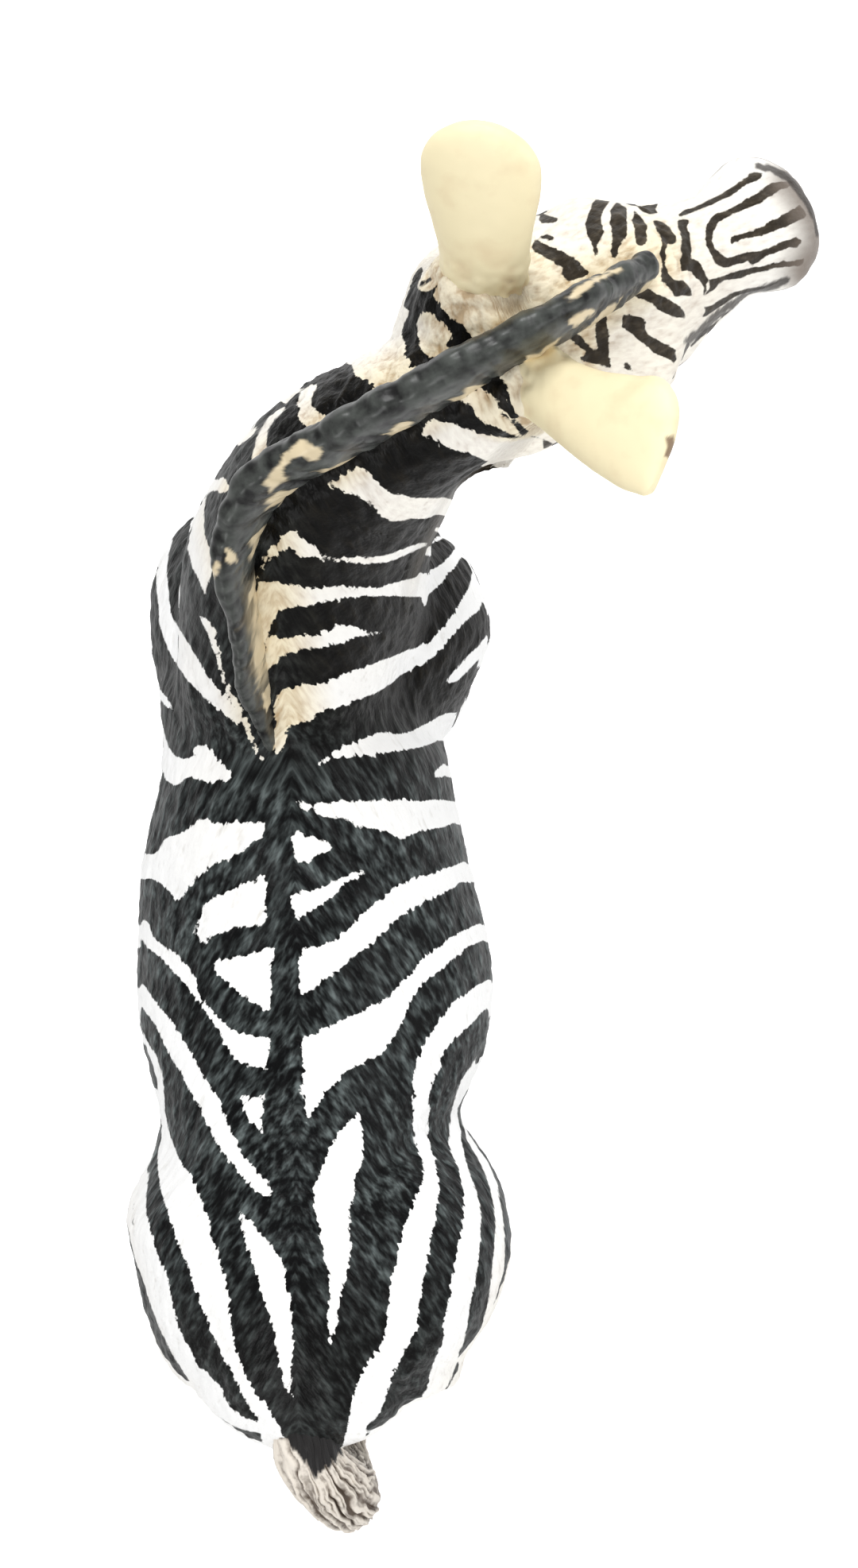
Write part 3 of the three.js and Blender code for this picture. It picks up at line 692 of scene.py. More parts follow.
     (573, 1730), (565, 1745), (555, 1760), (545, 1775), (560, 1790), (600, 1720), (617, 1668), (622, 1645),
     (630, 1620), (634, 1600), (636, 1575), (635, 1550), (632, 1525), (627, 1500), (620, 1480), (610, 1460),
     (600, 1443)],
    [(600, 945), (566, 952), (557, 962), (547, 971), (547, 978), (557, 978), (568, 970), (600, 962)],
    [(413, 612), (420, 605), (432, 598), (445, 590), (452, 587), (460, 592), (468, 595), (472, 603),
     (480, 612), (490, 620), (505, 623), (520, 627), (540, 627), (560, 627), (600, 620), (600, 640),
     (570, 648), (560, 648), (545, 651), (530, 653), (515, 653), (500, 656), (490, 655), (480, 650),
     (472, 640), (465, 633), (455, 627), (443, 620), (430, 617)],
    [(352, 679), (362, 671), (372, 668), (376, 676), (386, 683), (396, 688), (403, 696), (413, 700),
     (427, 702), (445, 701), (463, 701), (480, 700), (495, 696), (510, 690), (527, 684), (542, 680),
     (552, 675), (562, 668), (570, 660), (600, 640), (600, 655), (570, 668), (556, 678), (545, 683),
     (530, 689), (518, 695), (504, 701), (490, 707), (475, 709), (458, 709), (440, 708), (425, 706),
     (410, 704), (400, 702), (385, 701), (372, 700), (368, 690), (358, 692), (347, 697), (338, 706),
     (328, 718), (322, 728), (330, 705), (342, 690)],
    [(326, 733), (335, 730), (347, 732), (362, 735), (376, 738), (383, 742), (396, 740), (412, 739),
     (430, 738), (452, 739), (475, 740), (490, 735), (505, 731), (522, 727), (535, 721), (547, 715),
     (557, 709), (564, 702), (570, 694), (580, 684), (610, 680), (610, 690), (586, 690), (580, 702),
     (573, 713), (561, 725), (555, 735), (546, 743), (536, 750), (520, 751), (500, 750), (480, 750),
     (456, 750), (440, 752), (425, 755), (405, 756), (390, 760), (375, 763), (360, 766), (350, 770),
     (343, 779), (338, 793), (331, 808), (326, 822), (316, 850), (310, 820), (312, 795), (318, 765)],
    [(338, 800), (350, 802), (365, 803), (380, 800), (396, 799), (410, 795), (421, 789), (432, 786),
     (443, 788), (455, 792), (466, 795), (482, 796), (466, 799), (450, 802), (435, 807), (420, 811),
     (405, 815), (390, 817), (375, 819), (362, 822), (352, 827), (348, 835), (341, 839), (336, 848),
     (334, 865), (332, 885), (328, 870), (327, 845), (330, 825), (334, 810)],
    [(352, 868), (365, 865), (380, 862), (395, 861), (406, 859), (418, 856), (430, 851), (442, 846),
     (455, 841), (466, 837), (477, 832), (490, 828), (502, 823), (516, 818), (531, 812), (545, 803),
     (554, 794), (562, 783), (570, 773), (577, 762), (584, 750), (590, 740), (594, 722), (625, 700),
     (630, 735), (608, 742), (607, 757), (603, 768), (597, 773), (588, 780), (578, 790), (569, 799),
     (561, 809), (555, 817), (548, 824), (540, 831), (531, 838), (522, 837), (514, 844), (505, 849),
     (497, 856), (488, 863), (475, 871), (460, 877), (445, 883), (430, 888), (415, 892), (401, 896),
     (397, 903), (388, 907), (375, 911), (362, 914), (358, 925), (359, 938), (352, 946), (345, 946),
     (341, 935), (345, 915), (344, 895), (347, 880)],
    [(640, 780), (617, 790), (611, 801), (602, 813), (592, 822), (582, 833), (573, 843), (561, 857),
     (566, 860), (576, 857), (585, 848), (595, 837), (605, 826), (612, 816), (618, 806), (640, 800)],
    [(640, 860), (590, 882), (578, 896), (560, 898), (550, 903), (542, 908), (530, 914), (518, 920),
     (505, 924), (490, 922), (478, 922), (465, 927), (450, 933), (435, 938), (425, 943), (415, 950),
     (400, 962), (412, 957), (428, 953), (445, 952), (470, 951), (485, 948), (500, 945), (515, 943),
     (530, 940), (545, 935), (563, 925), (600, 915)],
    [(241, 630), (228, 655), (218, 678), (213, 695), (210, 715), (211, 735), (213, 755), (216, 775),
     (225, 790), (235, 806), (245, 822), (255, 840), (265, 855), (275, 868), (285, 878), (296, 890),
     (306, 902), (303, 913), (290, 905), (275, 893), (262, 882), (250, 870), (237, 857), (225, 840),
     (213, 820), (205, 800), (200, 783), (200, 765), (197, 740), (196, 712), (170, 740), (170, 640),
     (210, 600)],
    [(241, 634), (238, 645), (240, 665), (236, 690), (243, 715), (248, 725), (255, 740), (258, 752),
     (262, 735), (265, 720), (272, 710), (270, 700), (264, 690), (257, 670), (256, 645), (262, 625),
     (270, 605), (262, 598), (240, 610)],
    [(251, 775), (262, 781), (270, 790), (272, 805), (276, 822), (279, 840), (283, 856), (290, 868),
     (300, 885), (310, 905), (318, 925), (325, 945), (332, 957), (328, 957), (314, 930), (305, 910),
     (296, 890), (286, 872), (278, 850), (274, 832), (268, 815), (262, 800), (256, 787)],
    [(250, 590), (271, 604), (275, 620), (283, 620), (290, 614), (285, 607), (282, 595), (286, 581),
     (250, 560)],
    [(300, 500), (335, 527), (331, 536), (323, 550), (320, 563), (316, 581), (319, 590), (325, 586),
     (333, 582), (340, 578), (336, 566), (335, 551), (338, 538), (347, 527), (360, 514), (330, 480)],
    [(350, 440), (400, 473), (399, 480), (398, 489), (392, 500), (391, 508), (397, 516), (405, 522),
     (415, 525), (425, 526), (440, 520), (430, 530), (415, 535), (405, 542), (395, 545), (386, 536),
     (379, 530), (375, 522), (378, 513), (373, 510), (377, 499), (382, 488)],
    [(420, 420), (444, 440), (440, 448), (443, 460), (447, 472), (458, 478), (471, 482), (472, 487),
     (466, 492), (473, 497), (485, 488), (500, 478), (515, 468), (522, 463), (515, 460), (517, 454),
     (508, 448), (511, 436), (505, 421), (508, 408), (517, 393), (500, 380)],
    [(526, 404), (530, 395), (538, 391), (545, 396), (550, 401), (558, 405), (565, 413), (568, 422),
     (562, 433), (566, 440), (560, 446), (548, 450), (538, 449), (530, 440), (527, 430), (525, 415)],
    [(527, 362), (535, 358), (545, 352), (549, 349), (549, 358), (545, 364), (536, 367), (528, 366)],
    [(532, 536), (543, 529), (558, 529), (573, 533), (587, 538), (605, 545), (626, 550), (643, 552),
     (664, 549), (683, 552), (684, 566), (690, 577), (700, 600), (640, 600), (618, 583), (602, 575),
     (590, 570), (573, 566), (555, 561), (550, 554), (540, 550), (531, 545)],
    [(580, 503), (586, 496), (595, 490), (603, 487), (612, 493), (618, 497), (624, 500), (626, 510),
     (632, 518), (638, 526), (645, 533), (650, 540), (655, 547), (664, 549), (655, 549), (643, 547),
     (626, 540), (614, 533), (600, 526), (594, 514)],
    [(500, 300), (549, 358), (546, 374), (555, 386), (569, 401), (581, 410), (590, 418), (605, 435),
     (630, 471), (636, 486), (643, 504), (645, 513), (652, 530), (664, 542), (673, 549), (683, 552),
     (700, 560), (760, 640), (1100, 640), (1100, 150), (500, 150)],
]
black_outlines = [
    [(679, 265), (684, 269), (692, 272), (702, 274), (701, 279), (695, 281), (682, 281), (678, 277),
     (680, 271)],
    [(680, 297), (688, 295), (697, 297), (698, 301), (690, 302), (681, 300)],
    [(673, 298), (680, 304), (690, 309), (700, 313), (710, 318), (723, 324), (730, 332), (738, 340),
     (742, 344), (733, 350), (722, 353), (712, 352), (708, 345), (708, 338), (700, 332), (690, 326),
     (680, 320), (672, 316), (670, 311), (672, 303)],
    [(755, 237), (762, 239), (770, 245), (773, 249), (768, 253), (764, 259), (760, 264), (757, 272),
     (757, 280), (760, 290), (758, 298), (754, 303), (751, 310), (753, 318), (753, 324), (750, 323),
     (747, 315), (744, 307), (741, 300), (738, 290), (736, 282), (739, 275), (742, 265), (746, 255),
     (751, 250), (754, 243)],
    [(777, 254), (783, 258), (789, 262), (789, 270), (789, 280), (790, 290), (788, 300), (782, 305),
     (779, 312), (778, 320), (774, 325), (771, 322), (769, 315), (770, 305), (771, 297), (770, 288),
     (767, 282), (769, 272), (768, 265), (773, 258)],
    [(798, 264), (804, 270), (810, 277), (815, 285), (813, 292), (815, 299), (814, 307), (807, 310),
     (801, 307), (799, 298), (799, 290), (797, 282), (795, 277), (798, 270)],
    [(822, 277), (830, 278), (838, 282), (844, 287), (851, 298), (851, 304), (846, 308), (840, 307),
     (838, 315), (838, 325), (838, 335), (842, 345), (846, 350), (853, 353), (860, 352), (866, 358),
     (870, 365), (871, 373), (865, 373), (858, 372), (851, 374), (845, 366), (838, 357), (831, 354),
     (833, 345), (832, 335), (833, 325), (830, 318), (833, 310), (833, 300), (830, 295), (825, 287)],
    [(854, 270), (862, 264), (872, 261), (882, 257), (892, 252), (902, 247), (912, 241), (920, 236),
     (928, 230), (935, 225), (941, 222), (943, 218), (952, 216), (960, 218), (958, 223), (952, 228),
     (945, 229), (938, 234), (930, 240), (922, 245), (912, 250), (902, 255), (892, 259), (882, 263),
     (872, 267), (862, 271), (855, 273)],
    [(853, 277), (860, 276), (867, 277), (865, 286), (868, 294), (868, 304), (870, 313), (870, 325),
     (878, 328), (884, 335), (888, 345), (892, 352), (889, 358), (890, 365), (885, 372), (886, 362),
     (882, 355), (876, 350), (871, 343), (865, 340), (858, 342), (857, 335), (856, 328), (859, 320),
     (857, 312), (858, 303), (857, 293), (853, 285)],
    [(886, 372), (893, 362), (893, 352), (900, 350), (910, 347), (920, 344), (932, 340), (945, 337),
     (958, 335), (970, 332), (985, 329), (1000, 328), (1012, 325), (1013, 329), (1005, 335), (990, 336),
     (975, 338), (960, 342), (945, 345), (933, 350), (922, 351), (912, 353), (905, 357), (900, 364),
     (893, 368)],
    [(998, 227), (992, 229), (982, 228), (972, 230), (965, 234), (958, 240), (948, 246), (938, 251),
     (930, 257), (920, 262), (910, 266), (901, 268), (896, 273), (890, 281), (888, 291), (888, 301),
     (889, 309), (893, 317), (897, 326), (903, 334), (911, 337), (920, 335), (931, 332), (941, 329),
     (947, 333), (955, 329), (963, 323), (975, 319), (985, 315), (994, 311), (1002, 312), (1008, 307),
     (1009, 302), (1003, 299), (995, 301), (985, 303), (977, 307), (968, 312), (958, 315), (945, 317),
     (935, 319), (925, 322), (916, 324), (909, 321), (902, 315), (898, 308), (897, 300), (897, 292),
     (902, 285), (904, 279), (910, 276), (918, 272), (926, 268), (935, 264), (945, 260), (955, 256),
     (965, 250), (975, 243), (983, 238), (991, 237), (997, 231)],
    [(919, 303), (921, 298), (928, 296), (938, 293), (945, 292), (952, 288), (960, 284), (968, 279),
     (976, 275), (984, 271), (992, 267), (1000, 263), (1006, 257), (1011, 263), (1015, 270), (1013, 274),
     (1005, 277), (998, 281), (990, 285), (980, 289), (970, 292), (960, 297), (950, 299), (940, 300),
     (932, 302), (925, 305), (921, 308)],
    [(886, 386), (890, 386), (898, 383), (904, 378), (912, 374), (920, 369), (930, 366), (940, 363),
     (950, 362), (962, 360), (975, 356), (980, 354), (972, 359), (960, 364), (948, 367), (938, 369),
     (928, 372), (920, 377), (912, 383), (903, 388), (896, 393), (888, 398), (884, 399), (888, 392)],
    # A painted shadow: the dark line along the edge of the jaw.
    [(868, 435), (875, 428), (880, 420), (888, 413), (896, 409), (905, 402), (912, 395), (920, 389),
     (930, 382), (940, 379), (950, 376), (960, 370), (968, 368), (960, 374), (948, 379), (935, 383),
     (925, 389), (915, 398), (905, 406), (895, 415), (885, 423), (877, 430), (870, 437)],
    [(797, 370), (808, 364), (815, 362), (825, 368), (835, 374), (842, 376), (850, 381), (858, 388),
     (862, 395), (863, 401), (855, 400), (845, 398), (835, 393), (827, 388), (820, 382), (812, 378),
     (804, 376)],
    [(783, 403), (785, 397), (793, 395), (800, 399), (808, 401), (813, 406), (811, 412), (815, 419),
     (822, 425), (830, 429), (838, 433), (845, 436), (851, 441), (850, 448), (852, 453), (848, 457),
     (842, 453), (835, 448), (828, 446), (820, 442), (814, 436), (808, 431), (802, 427), (796, 421),
     (788, 415), (783, 411)],
    # This stripe's outline also takes in a painted shadow: the dark cast by the mane beside it.
    [(763, 393), (764, 402), (765, 412), (767, 422), (765, 432), (766, 442), (768, 452), (769, 462),
     (760, 461), (750, 459), (740, 456), (732, 453), (730, 450), (736, 447), (738, 443), (730, 437),
     (722, 430), (712, 423), (705, 418), (715, 412), (725, 417), (733, 425), (740, 434), (746, 440),
     (753, 438), (750, 430), (750, 420), (750, 412), (749, 403), (748, 396)],
    [(785, 457), (790, 456), (794, 461), (796, 467), (790, 466), (785, 462)],
    [(793, 256), (805, 255), (815, 254), (828, 252), (828, 258), (825, 263), (828, 268), (818, 270),
     (808, 266), (802, 260)],
    [(157, 1470), (170, 1480), (163, 1510), (161, 1545), (168, 1588), (180, 1625), (192, 1658), (208, 1690),
     (224, 1715), (240, 1740), (230, 1742), (214, 1715), (200, 1690), (186, 1660), (172, 1625), (161, 1590),
     (153, 1548), (153, 1510)],
    [(594, 1430), (606, 1446), (621, 1468), (633, 1490), (641, 1510), (646, 1540), (648, 1570), (646, 1592),
     (640, 1612), (636, 1608), (640, 1588), (641, 1568), (638, 1542), (634, 1512), (627, 1492), (615, 1472),
     (600, 1450)],
]
reach_px = 30


def inside_by(pixels, outline):
    """The distance of pixels to the nearest side of an outline, less than 0 outside by an even-odd count."""
    corner = np.array(outline, float)
    ahead = np.roll(corner, -1, axis=0)
    run = ahead - corner
    found = np.full(len(pixels), -float(reach_px))
    near = np.flatnonzero(
        ((pixels > corner.min(axis=0) - reach_px) & (pixels < corner.max(axis=0) + reach_px)).all(axis=1)
    )
    if not len(near):
        return found
    from_corner = pixels[near, None, :] - corner
    share = np.clip((from_corner * run).sum(axis=2) / (run**2).sum(axis=1), 0, 1)
    gap = np.sqrt(((from_corner - share[..., None] * run) ** 2).sum(axis=2).min(axis=1))
    above = (corner[:, 1] > pixels[near, None, 1]) != (ahead[:, 1] > pixels[near, None, 1])
    rise = np.where(run[:, 1] == 0, 1, run[:, 1])
    crossing = corner[:, 0] + run[:, 0] * (pixels[near, None, 1] - corner[:, 1]) / rise
    inside = (above & (pixels[near, None, 0] < crossing)).sum(axis=1) % 2 == 1
    found[near] = np.where(inside, 1, -1) * np.minimum(gap, reach_px)
    return found


def inside_any(pixels, outlines):
    """How deep pixels lie in the outline that holds them deepest, less than 0 outside them all."""
    found = np.full(len(pixels), -float(reach_px))
    for outline in outlines:
        found = np.maximum(found, inside_by(pixels, outline))
    return found


def painted(pixels):
    """How deep each pixel lies in the white, in pixels: the white outlines, less the black ones over them."""
    return np.minimum(inside_any(pixels, white_outlines), -inside_any(pixels, black_outlines))


# Below the widest part of the body, where the camera does not reach, the stripes run on down from
# the edges of the picture's outline, which are taken a few pixels inwards.
edge_left = np.array([
    (443, 441), (334, 526), (271, 604), (214, 677), (186, 775), (201, 884), (207, 924), (203, 970),
    (194, 1028), (180, 1073), (175, 1109), (176, 1149), (173, 1190), (170, 1232), (175, 1291), (187, 1349),
    (199, 1386), (197, 1429), (187, 1466), (162, 1506), (160, 1550), (171, 1605), (184, 1656), (200, 1703),
    (257, 1773), (345, 1808),
])
edge_right = np.array([
    (602, 556), (580, 615), (576, 668), (609, 739), (619, 808), (585, 884), (563, 928), (570, 974),
    (579, 1033), (589, 1082), (600, 1112), (607, 1149), (616, 1190), (621, 1232), (616, 1291), (603, 1349),
    (586, 1386), (590, 1425), (615, 1455), (633, 1502), (642, 1550), (640, 1605), (620, 1656), (589, 1703),
    (542, 1771), (470, 1797),
])
margin_px = 13


def off_outline(pixels):
    """The painted value at both ends of the cross line through each pixel, and the share along the line."""
    span = edge_right - edge_left
    past = pixels[:, None, :] - edge_left
    side_of = span[:, 0] * past[..., 1] - span[:, 1] * past[..., 0]
    k = np.clip((side_of > 0).sum(axis=1) - 1, 0, len(span) - 2)
    here = np.take_along_axis(side_of, k[:, None], axis=1)[:, 0]
    ahead = np.take_along_axis(side_of, k[:, None] + 1, axis=1)[:, 0]
    t = np.clip(here / (here - ahead + 1e-9), 0, 1)[:, None]
    left = edge_left[k] * (1 - t) + edge_left[k + 1] * t
    right = edge_right[k] * (1 - t) + edge_right[k + 1] * t
    line = right - left
    width = np.linalg.norm(line, axis=1, keepdims=True)
    share = ((pixels - left) * line).sum(axis=1) / width[:, 0] ** 2
    inward = margin_px * line / width
    return painted(left + inward), painted(right - inward), share


# The stripes worked out by formula: how close they are, and where they begin and are whole. The names
# end in x to the left, y back, z up, ahead along the nose and up from it. Four numbers rise and fall.
ring_height = 25
ring_count = 70
fan_pivot = (16.0, 33.0)
fan_count = 23
bar_count = 0.95
bar_slope = 0.3
band_count = 1.25
band_slope = 0.4
band_turn = 3
face_count = 2.0
face_slope = 0.35
over_the_back = (0.3, 0.7)
haunch_y = (17, 23)
shoulder_x = (-3, 3)
shoulder_y = (-24, -20, -5, 0)
shoulder_z = (66, 58)
left_shoulder_x = (2, 5)
left_shoulder_y = (-24, -21, -2, 2)
left_shoulder_z = (50, 54)
chest_facing = (0.2, 0.6)
chest_y_from = (-14, -18)
chest_z = (68, 60)
belly_y = (-8, -4, 17, 21)
hind_y = (20, 34)
front_leg_z = (44, 36)
hind_leg_z = (52, 42)
face_ahead = (3, 6)
face_up = (-16, -14)
plain_nose_ahead = (20, 25)
plain_chin_up = (-11, -13)
plain_round_eye = (1.9, 1.35)
hoof_z = (5.0, 4.6)
seen_facing = (0.1, 0.22)
shoulder_facing = (0.0, 0.05)
calm_facing = (0.0, 0.08, 0.3, 0.75)


def stripes_below(pixels, scale, spot, normal):
    """Depth in the white out of sight: run down from the edge, and fanned, barred or banded in places."""
    x, y, z = spot.T
    from_left, from_right, share = off_outline(pixels)
    run_down = blend(from_left, from_right, step(*over_the_back, share)) / scale
    fan = np.arctan2(z - fan_pivot[1], y - fan_pivot[0]) + 0.035 * grain(spot / 6, 10)
    fanned = np.sin(fan_count * fan) * np.hypot(z - fan_pivot[1], y - fan_pivot[0]) / fan_count
    barred = np.sin(bar_count * (y + bar_slope * z) + 1.3 * grain(spot / 5, 11)) / bar_count
    chevron = z + band_slope * np.hypot(x + spine_shift, band_turn)
    banded = np.sin(band_count * chevron + 1.2 * grain(spot / 5, 13)) / band_count
    at_shoulder = between(y, *shoulder_y) * step(*shoulder_x, x) * step(*shoulder_z, z)
    at_chest = step(*chest_facing, -normal[:, 1]) * step(*chest_y_from, y)
    at_chest = at_chest * step(*chest_z, z + 4 * grain(spot / 6, 14))
    white = blend(run_down, fanned, step(*haunch_y, y))
    white = blend(white, barred, at_shoulder)
    return blend(white, banded, at_chest)


def face_stripes(head_spot, spot, eye):
    """Depth in the white on the cheeks: slanting bars, all white at the nose and chin and round the eye."""
    ahead, up = head_spot.T[1:]
    bars = (np.sin(face_count * (ahead + face_slope * up) + grain(spot / 4, 12)) + 0.3) / face_count
    plain = step(*plain_nose_ahead, ahead) + step(*plain_chin_up, up) + step(*plain_round_eye, eye)
    return bars + 2 * plain


def leg_rings(spot):
    """Depth in the white of rings by the logarithm of the height, with a white belly, and their share."""
    y, z = spot.T[1:]
    rings = ring_count * np.log(np.maximum(z, 0) + ring_height + 0.9 * grain(spot / 7, 5))
    ring_white = np.sin(rings) * (z + ring_height) / ring_count
    at_belly = between(y, *belly_y)
    on_leg = blend(step(*front_leg_z, z), step(*hind_leg_z, z), step(*hind_y, y))
    return ring_white * (1 - at_belly) + at_belly, on_leg


# The shades are drawn over the picture, and the eye is painted where its eyeball is modelled. Spans in
# z are heights, spans in mm are distances from a line, and spans ahead are places along the nose.
muzzle_line = np.array([(1003, 226), (1024, 256), (1037, 290), (1036, 312), (1018, 342)])
nostril_line = np.array([
    (955, 209), (975, 214), (995, 226), (1009, 243), (1019, 258), (1028, 276), (1031, 293),
])
jaw_line = np.array([(866, 430), (880, 417), (904, 395), (935, 374), (965, 362), (990, 353)])
eye_place = np.abs(head_features[3, :3])
eye_size = [3.2, 1.45, 1.2]
eye_edge = (1.1, 1.0)
lip_up = 7.5
lip_mm = (0.55, 0.2)
lip_ahead = (24.5, 26)
rim_mm = (0.36, 0.18)
rim_seen = (0.1, 0.45)
tip_grey_mm = (3.0, 0.4)
tip_grey_ahead = (31, 33)
blind_grey_ahead = (26, 29)
muzzle_ahead = (24, 26)
cream_by_mane_mm = (5.5, 1.0)
cream_by_mane_z = (56, 62)
cream_by_ear_mm = (7, 4.5)
pale_neck_z = (60, 70)
pale_poll_z = (72, 82)
pale_haunch_y = (28, 42)
pale_haunch_z = (28, 38, 52, 62)
# The browner, darker black is a painted shade: over the neck and shoulders, most on the right, and at the
# back of the rump.
shade_front_x = (4, -6)
shade_front_y = (3, -9)
shade_hind_y = (32, 45)


def oval_gap(head_spot, place, size):
    """The distance from the middle of an oval on either side of the head, in shares of its size."""
    return np.sqrt((((np.abs(head_spot) - place) / size) ** 2).sum(axis=1))


def cream_shade(pixels, scale, spot, head_spot, head_share, seen):
    """How cream the white is: a little on the neck, head and rump, and most beside the mane and the ears."""
    y, z = spot.T[1:]
    pale = 0.25 * step(*pale_poll_z, z) + 0.1 * step(*pale_neck_z, z) + 0.15 * head_share
    # Painted shade: the white goes cream on the haunches' sides.
    pale = pale + 0.3 * step(*pale_haunch_y, y) * between(z, *pale_haunch_z)
    to_mane = line_gap(pixels, cream_line) / scale
    by_mane = step(*cream_by_mane_mm, to_mane) * step(*cream_by_mane_z, z) * seen
    by_ear = 0.9 * step(*cream_by_ear_mm, ear_gap(head_spot))
    return np.maximum(pale, np.maximum(by_mane, by_ear))


def muzzle_shade(pixels, scale, ahead, seen):
    """How grey the muzzle is: in from the line round its tip, partly painted shade where it falls away, and
    further back where the camera is blind.
    """
    to_tip = line_gap(pixels, muzzle_line) / scale
    seen_grey = np.maximum(step(*tip_grey_mm, to_tip), step(*tip_grey_ahead, ahead))
    unseen_grey = step(*blind_grey_ahead, ahead) * (1 - seen)
    return np.maximum(seen_grey, unseen_grey) * step(*muzzle_ahead, ahead)


def head_shadow(pixels, scale, spot, head_spot, seen):
    """How dark the painted shadow on the head is: in the crease between the lips, and on the drawn lines
    along its edges.
    """
    ahead, up = head_spot.T[1:]
    lips = 0.7 * step(*lip_mm, np.abs(up + lip_up)) * step(*lip_ahead, ahead)
    to_rim = np.minimum(line_gap(pixels, nostril_line), line_gap(pixels, jaw_line)) / scale
    rim = 0.9 * step(*rim_mm, to_rim + 0.12 * grain(spot / 0.4, 9)) * step(*rim_seen, seen)
    return np.maximum(lips, rim)


def keep_on(mesh, name, values):
    """One number for each point of a mesh, kept under a name for the paint to read."""
    held = mesh.attributes.new(name, "FLOAT", "POINT")
    held.data.foreach_set("value", np.asarray(values, np.float32))


def paint_skin(mesh, skin, normal, relief, places):
    """Keeps the paint's numbers on a mesh: depth in the white, ragged edge, shades and the hair's lie."""
    pixels, scale = on_photo(skin)
    spot, head_spot, _, head_share, _ = regions(skin)
    x, y, z = spot.T
    ahead, up = head_spot.T[1:]
    facing = -(normal * unit(skin - camera_place)).sum(axis=1)
    left_shoulder = between(y, *left_shoulder_y) * step(*left_shoulder_x, x) * step(*left_shoulder_z, z)
    seen = np.maximum(step(*seen_facing, facing), step(*shoulder_facing, facing) * left_shoulder)
    eye = oval_gap(head_spot, eye_place, eye_size)
    at_face = head_share * step(*face_ahead, ahead) * step(*face_up, up)
    unseen_white = stripes_below(pixels, scale, spot, normal)
    unseen_white = blend(unseen_white, face_stripes(head_spot, spot, eye), at_face)
    white = blend(unseen_white, painted(pixels) / scale, seen)
    # Painted shade: a darker, browner black at the front, most on the right, and at the back of the rump.
    painted_shade = step(*shade_front_y, y) * (0.6 + 0.4 * step(*shade_front_x, x)) * (1 - head_share)
    ragged = 1 - 0.75 * between(facing, *calm_facing)
    kept_numbers = {
        "white": blend(white, *leg_rings(spot)),
        "cream": cream_shade(pixels, scale, spot, head_spot, head_share, seen),
        "muzzle": muzzle_shade(pixels, scale, ahead, seen) * head_share,
        "painted_shade": np.maximum(painted_shade, 0.6 * step(*shade_hind_y, y)),
        "head": head_share,
        "ragged": ragged * (1 - 0.6 * head_share),
        "shadow": head_shadow(pixels, scale, spot, head_spot, seen) * head_share,
        "hoof": step(*hoof_z, z),
        "eye": step(*eye_edge, eye) * head_share,
        "relief": relief,
    }
    for name, values in kept_numbers.items():
        keep_on(mesh, name, values)
    held = mesh.attributes.new("hair", "FLOAT_VECTOR", "POINT")
    held.data.foreach_set("vector", places.astype(np.float32).ravel())


class Paint:
    """A material in the making: each of its tools adds a node and returns what comes out of it."""

    def __init__(self, name, shine):
        self.material = bpy.data.materials.new(name)
        self.material.use_nodes = True
        self.nodes = self.material.node_tree.nodes
        self.link = self.material.node_tree.links.new
        self.coat = self.nodes["Principled BSDF"].inputs
        self.coat["Specular IOR Level"].default_value = shine
        self.place = self.nodes.new("ShaderNodeTexCoord").outputs["Object"]

    def feed(self, socket, value):
        """Puts a number or a colour on a socket itself, and links anything else to it."""
        if isinstance(value, bpy.types.NodeSocket):
            self.link(value, socket)
        else:
            socket.default_value = (*value, 1) if isinstance(value, tuple) else value

    def read(self, name, kind="Fac"):
        """What a mesh keeps on its points under a name."""
        found = self.nodes.new("ShaderNodeAttribute")
        found.attribute_name = name
        return found.outputs[kind]

    def noise(self, scale, detail, place=None):
        """Noise over the object's own places, or over others."""
        made = self.nodes.new("ShaderNodeTexNoise")
        made.inputs["Scale"].default_value = scale
        made.inputs["Detail"].default_value = detail
        self.link(self.place if place is None else place, made.inputs["Vector"])
        return made.outputs["Fac"]

    def maths(self, kind, *values):
        """A sum or a product."""
        made = self.nodes.new("ShaderNodeMath")
        made.operation = kind
        for socket, value in zip(made.inputs, values):
            self.feed(socket, value)
        return made.outputs[0]

    def ramp(self, value, low, high):
        """A straight rise from 0 at low to 1 at high."""
        made = self.nodes.new("ShaderNodeMapRange")
        made.clamp = True
        self.link(value, made.inputs["Value"])
        made.inputs["From Min"].default_value = low
        made.inputs["From Max"].default_value = high
        return made.outputs["Result"]

    def mix(self, share, low, high):
        """The low colour, giving way to the high one by a share."""
        made = self.nodes.new("ShaderNodeMix")
        made.data_type = "RGBA"
        for socket, value in ((made.inputs[0], share), (made.inputs[6], low), (made.inputs[7], high)):
            self.feed(socket, value)
        return made.outputs[2]

    def emboss(self, height, strength, depth):
        """Tilts the light by a height, whose depth is in millimetres."""
        bump = self.nodes.new("ShaderNodeBump")
        bump.inputs["Strength"].default_value = strength
        bump.inputs["Distance"].default_value = depth * mm
        self.link(height, bump.inputs["Height"])
        self.link(bump.outputs["Normal"], self.coat["Normal"])


# Each colour of the hide in the hollows between the hairs, darkened there as painted shade, and on the
# hairs, lightened as painted highlight, and the plain ones. The browner black is painted shade, and the
# black of the head's creases is painted shadow.
slate = (0.001, 0.0012, 0.0015), (0.124, 0.147, 0.146)
shaded_black = (0.001, 0.0008, 0.0005), (0.008, 0.006, 0.003)
head_black = (0.026, 0.02, 0.013), (0.09, 0.072, 0.05)
chalk = (0.75, 0.74, 0.71), (0.93, 0.93, 0.925)
cream_shaded_to_lit = (0.5, 0.36, 0.2), (0.88, 0.79, 0.59)
muzzle_grey = (0.18, 0.145, 0.118)
shadow_black = (0.03, 0.024, 0.02)
hoof_black = (0.035, 0.033, 0.032)
eye_black = (0.01, 0.007, 0.005)

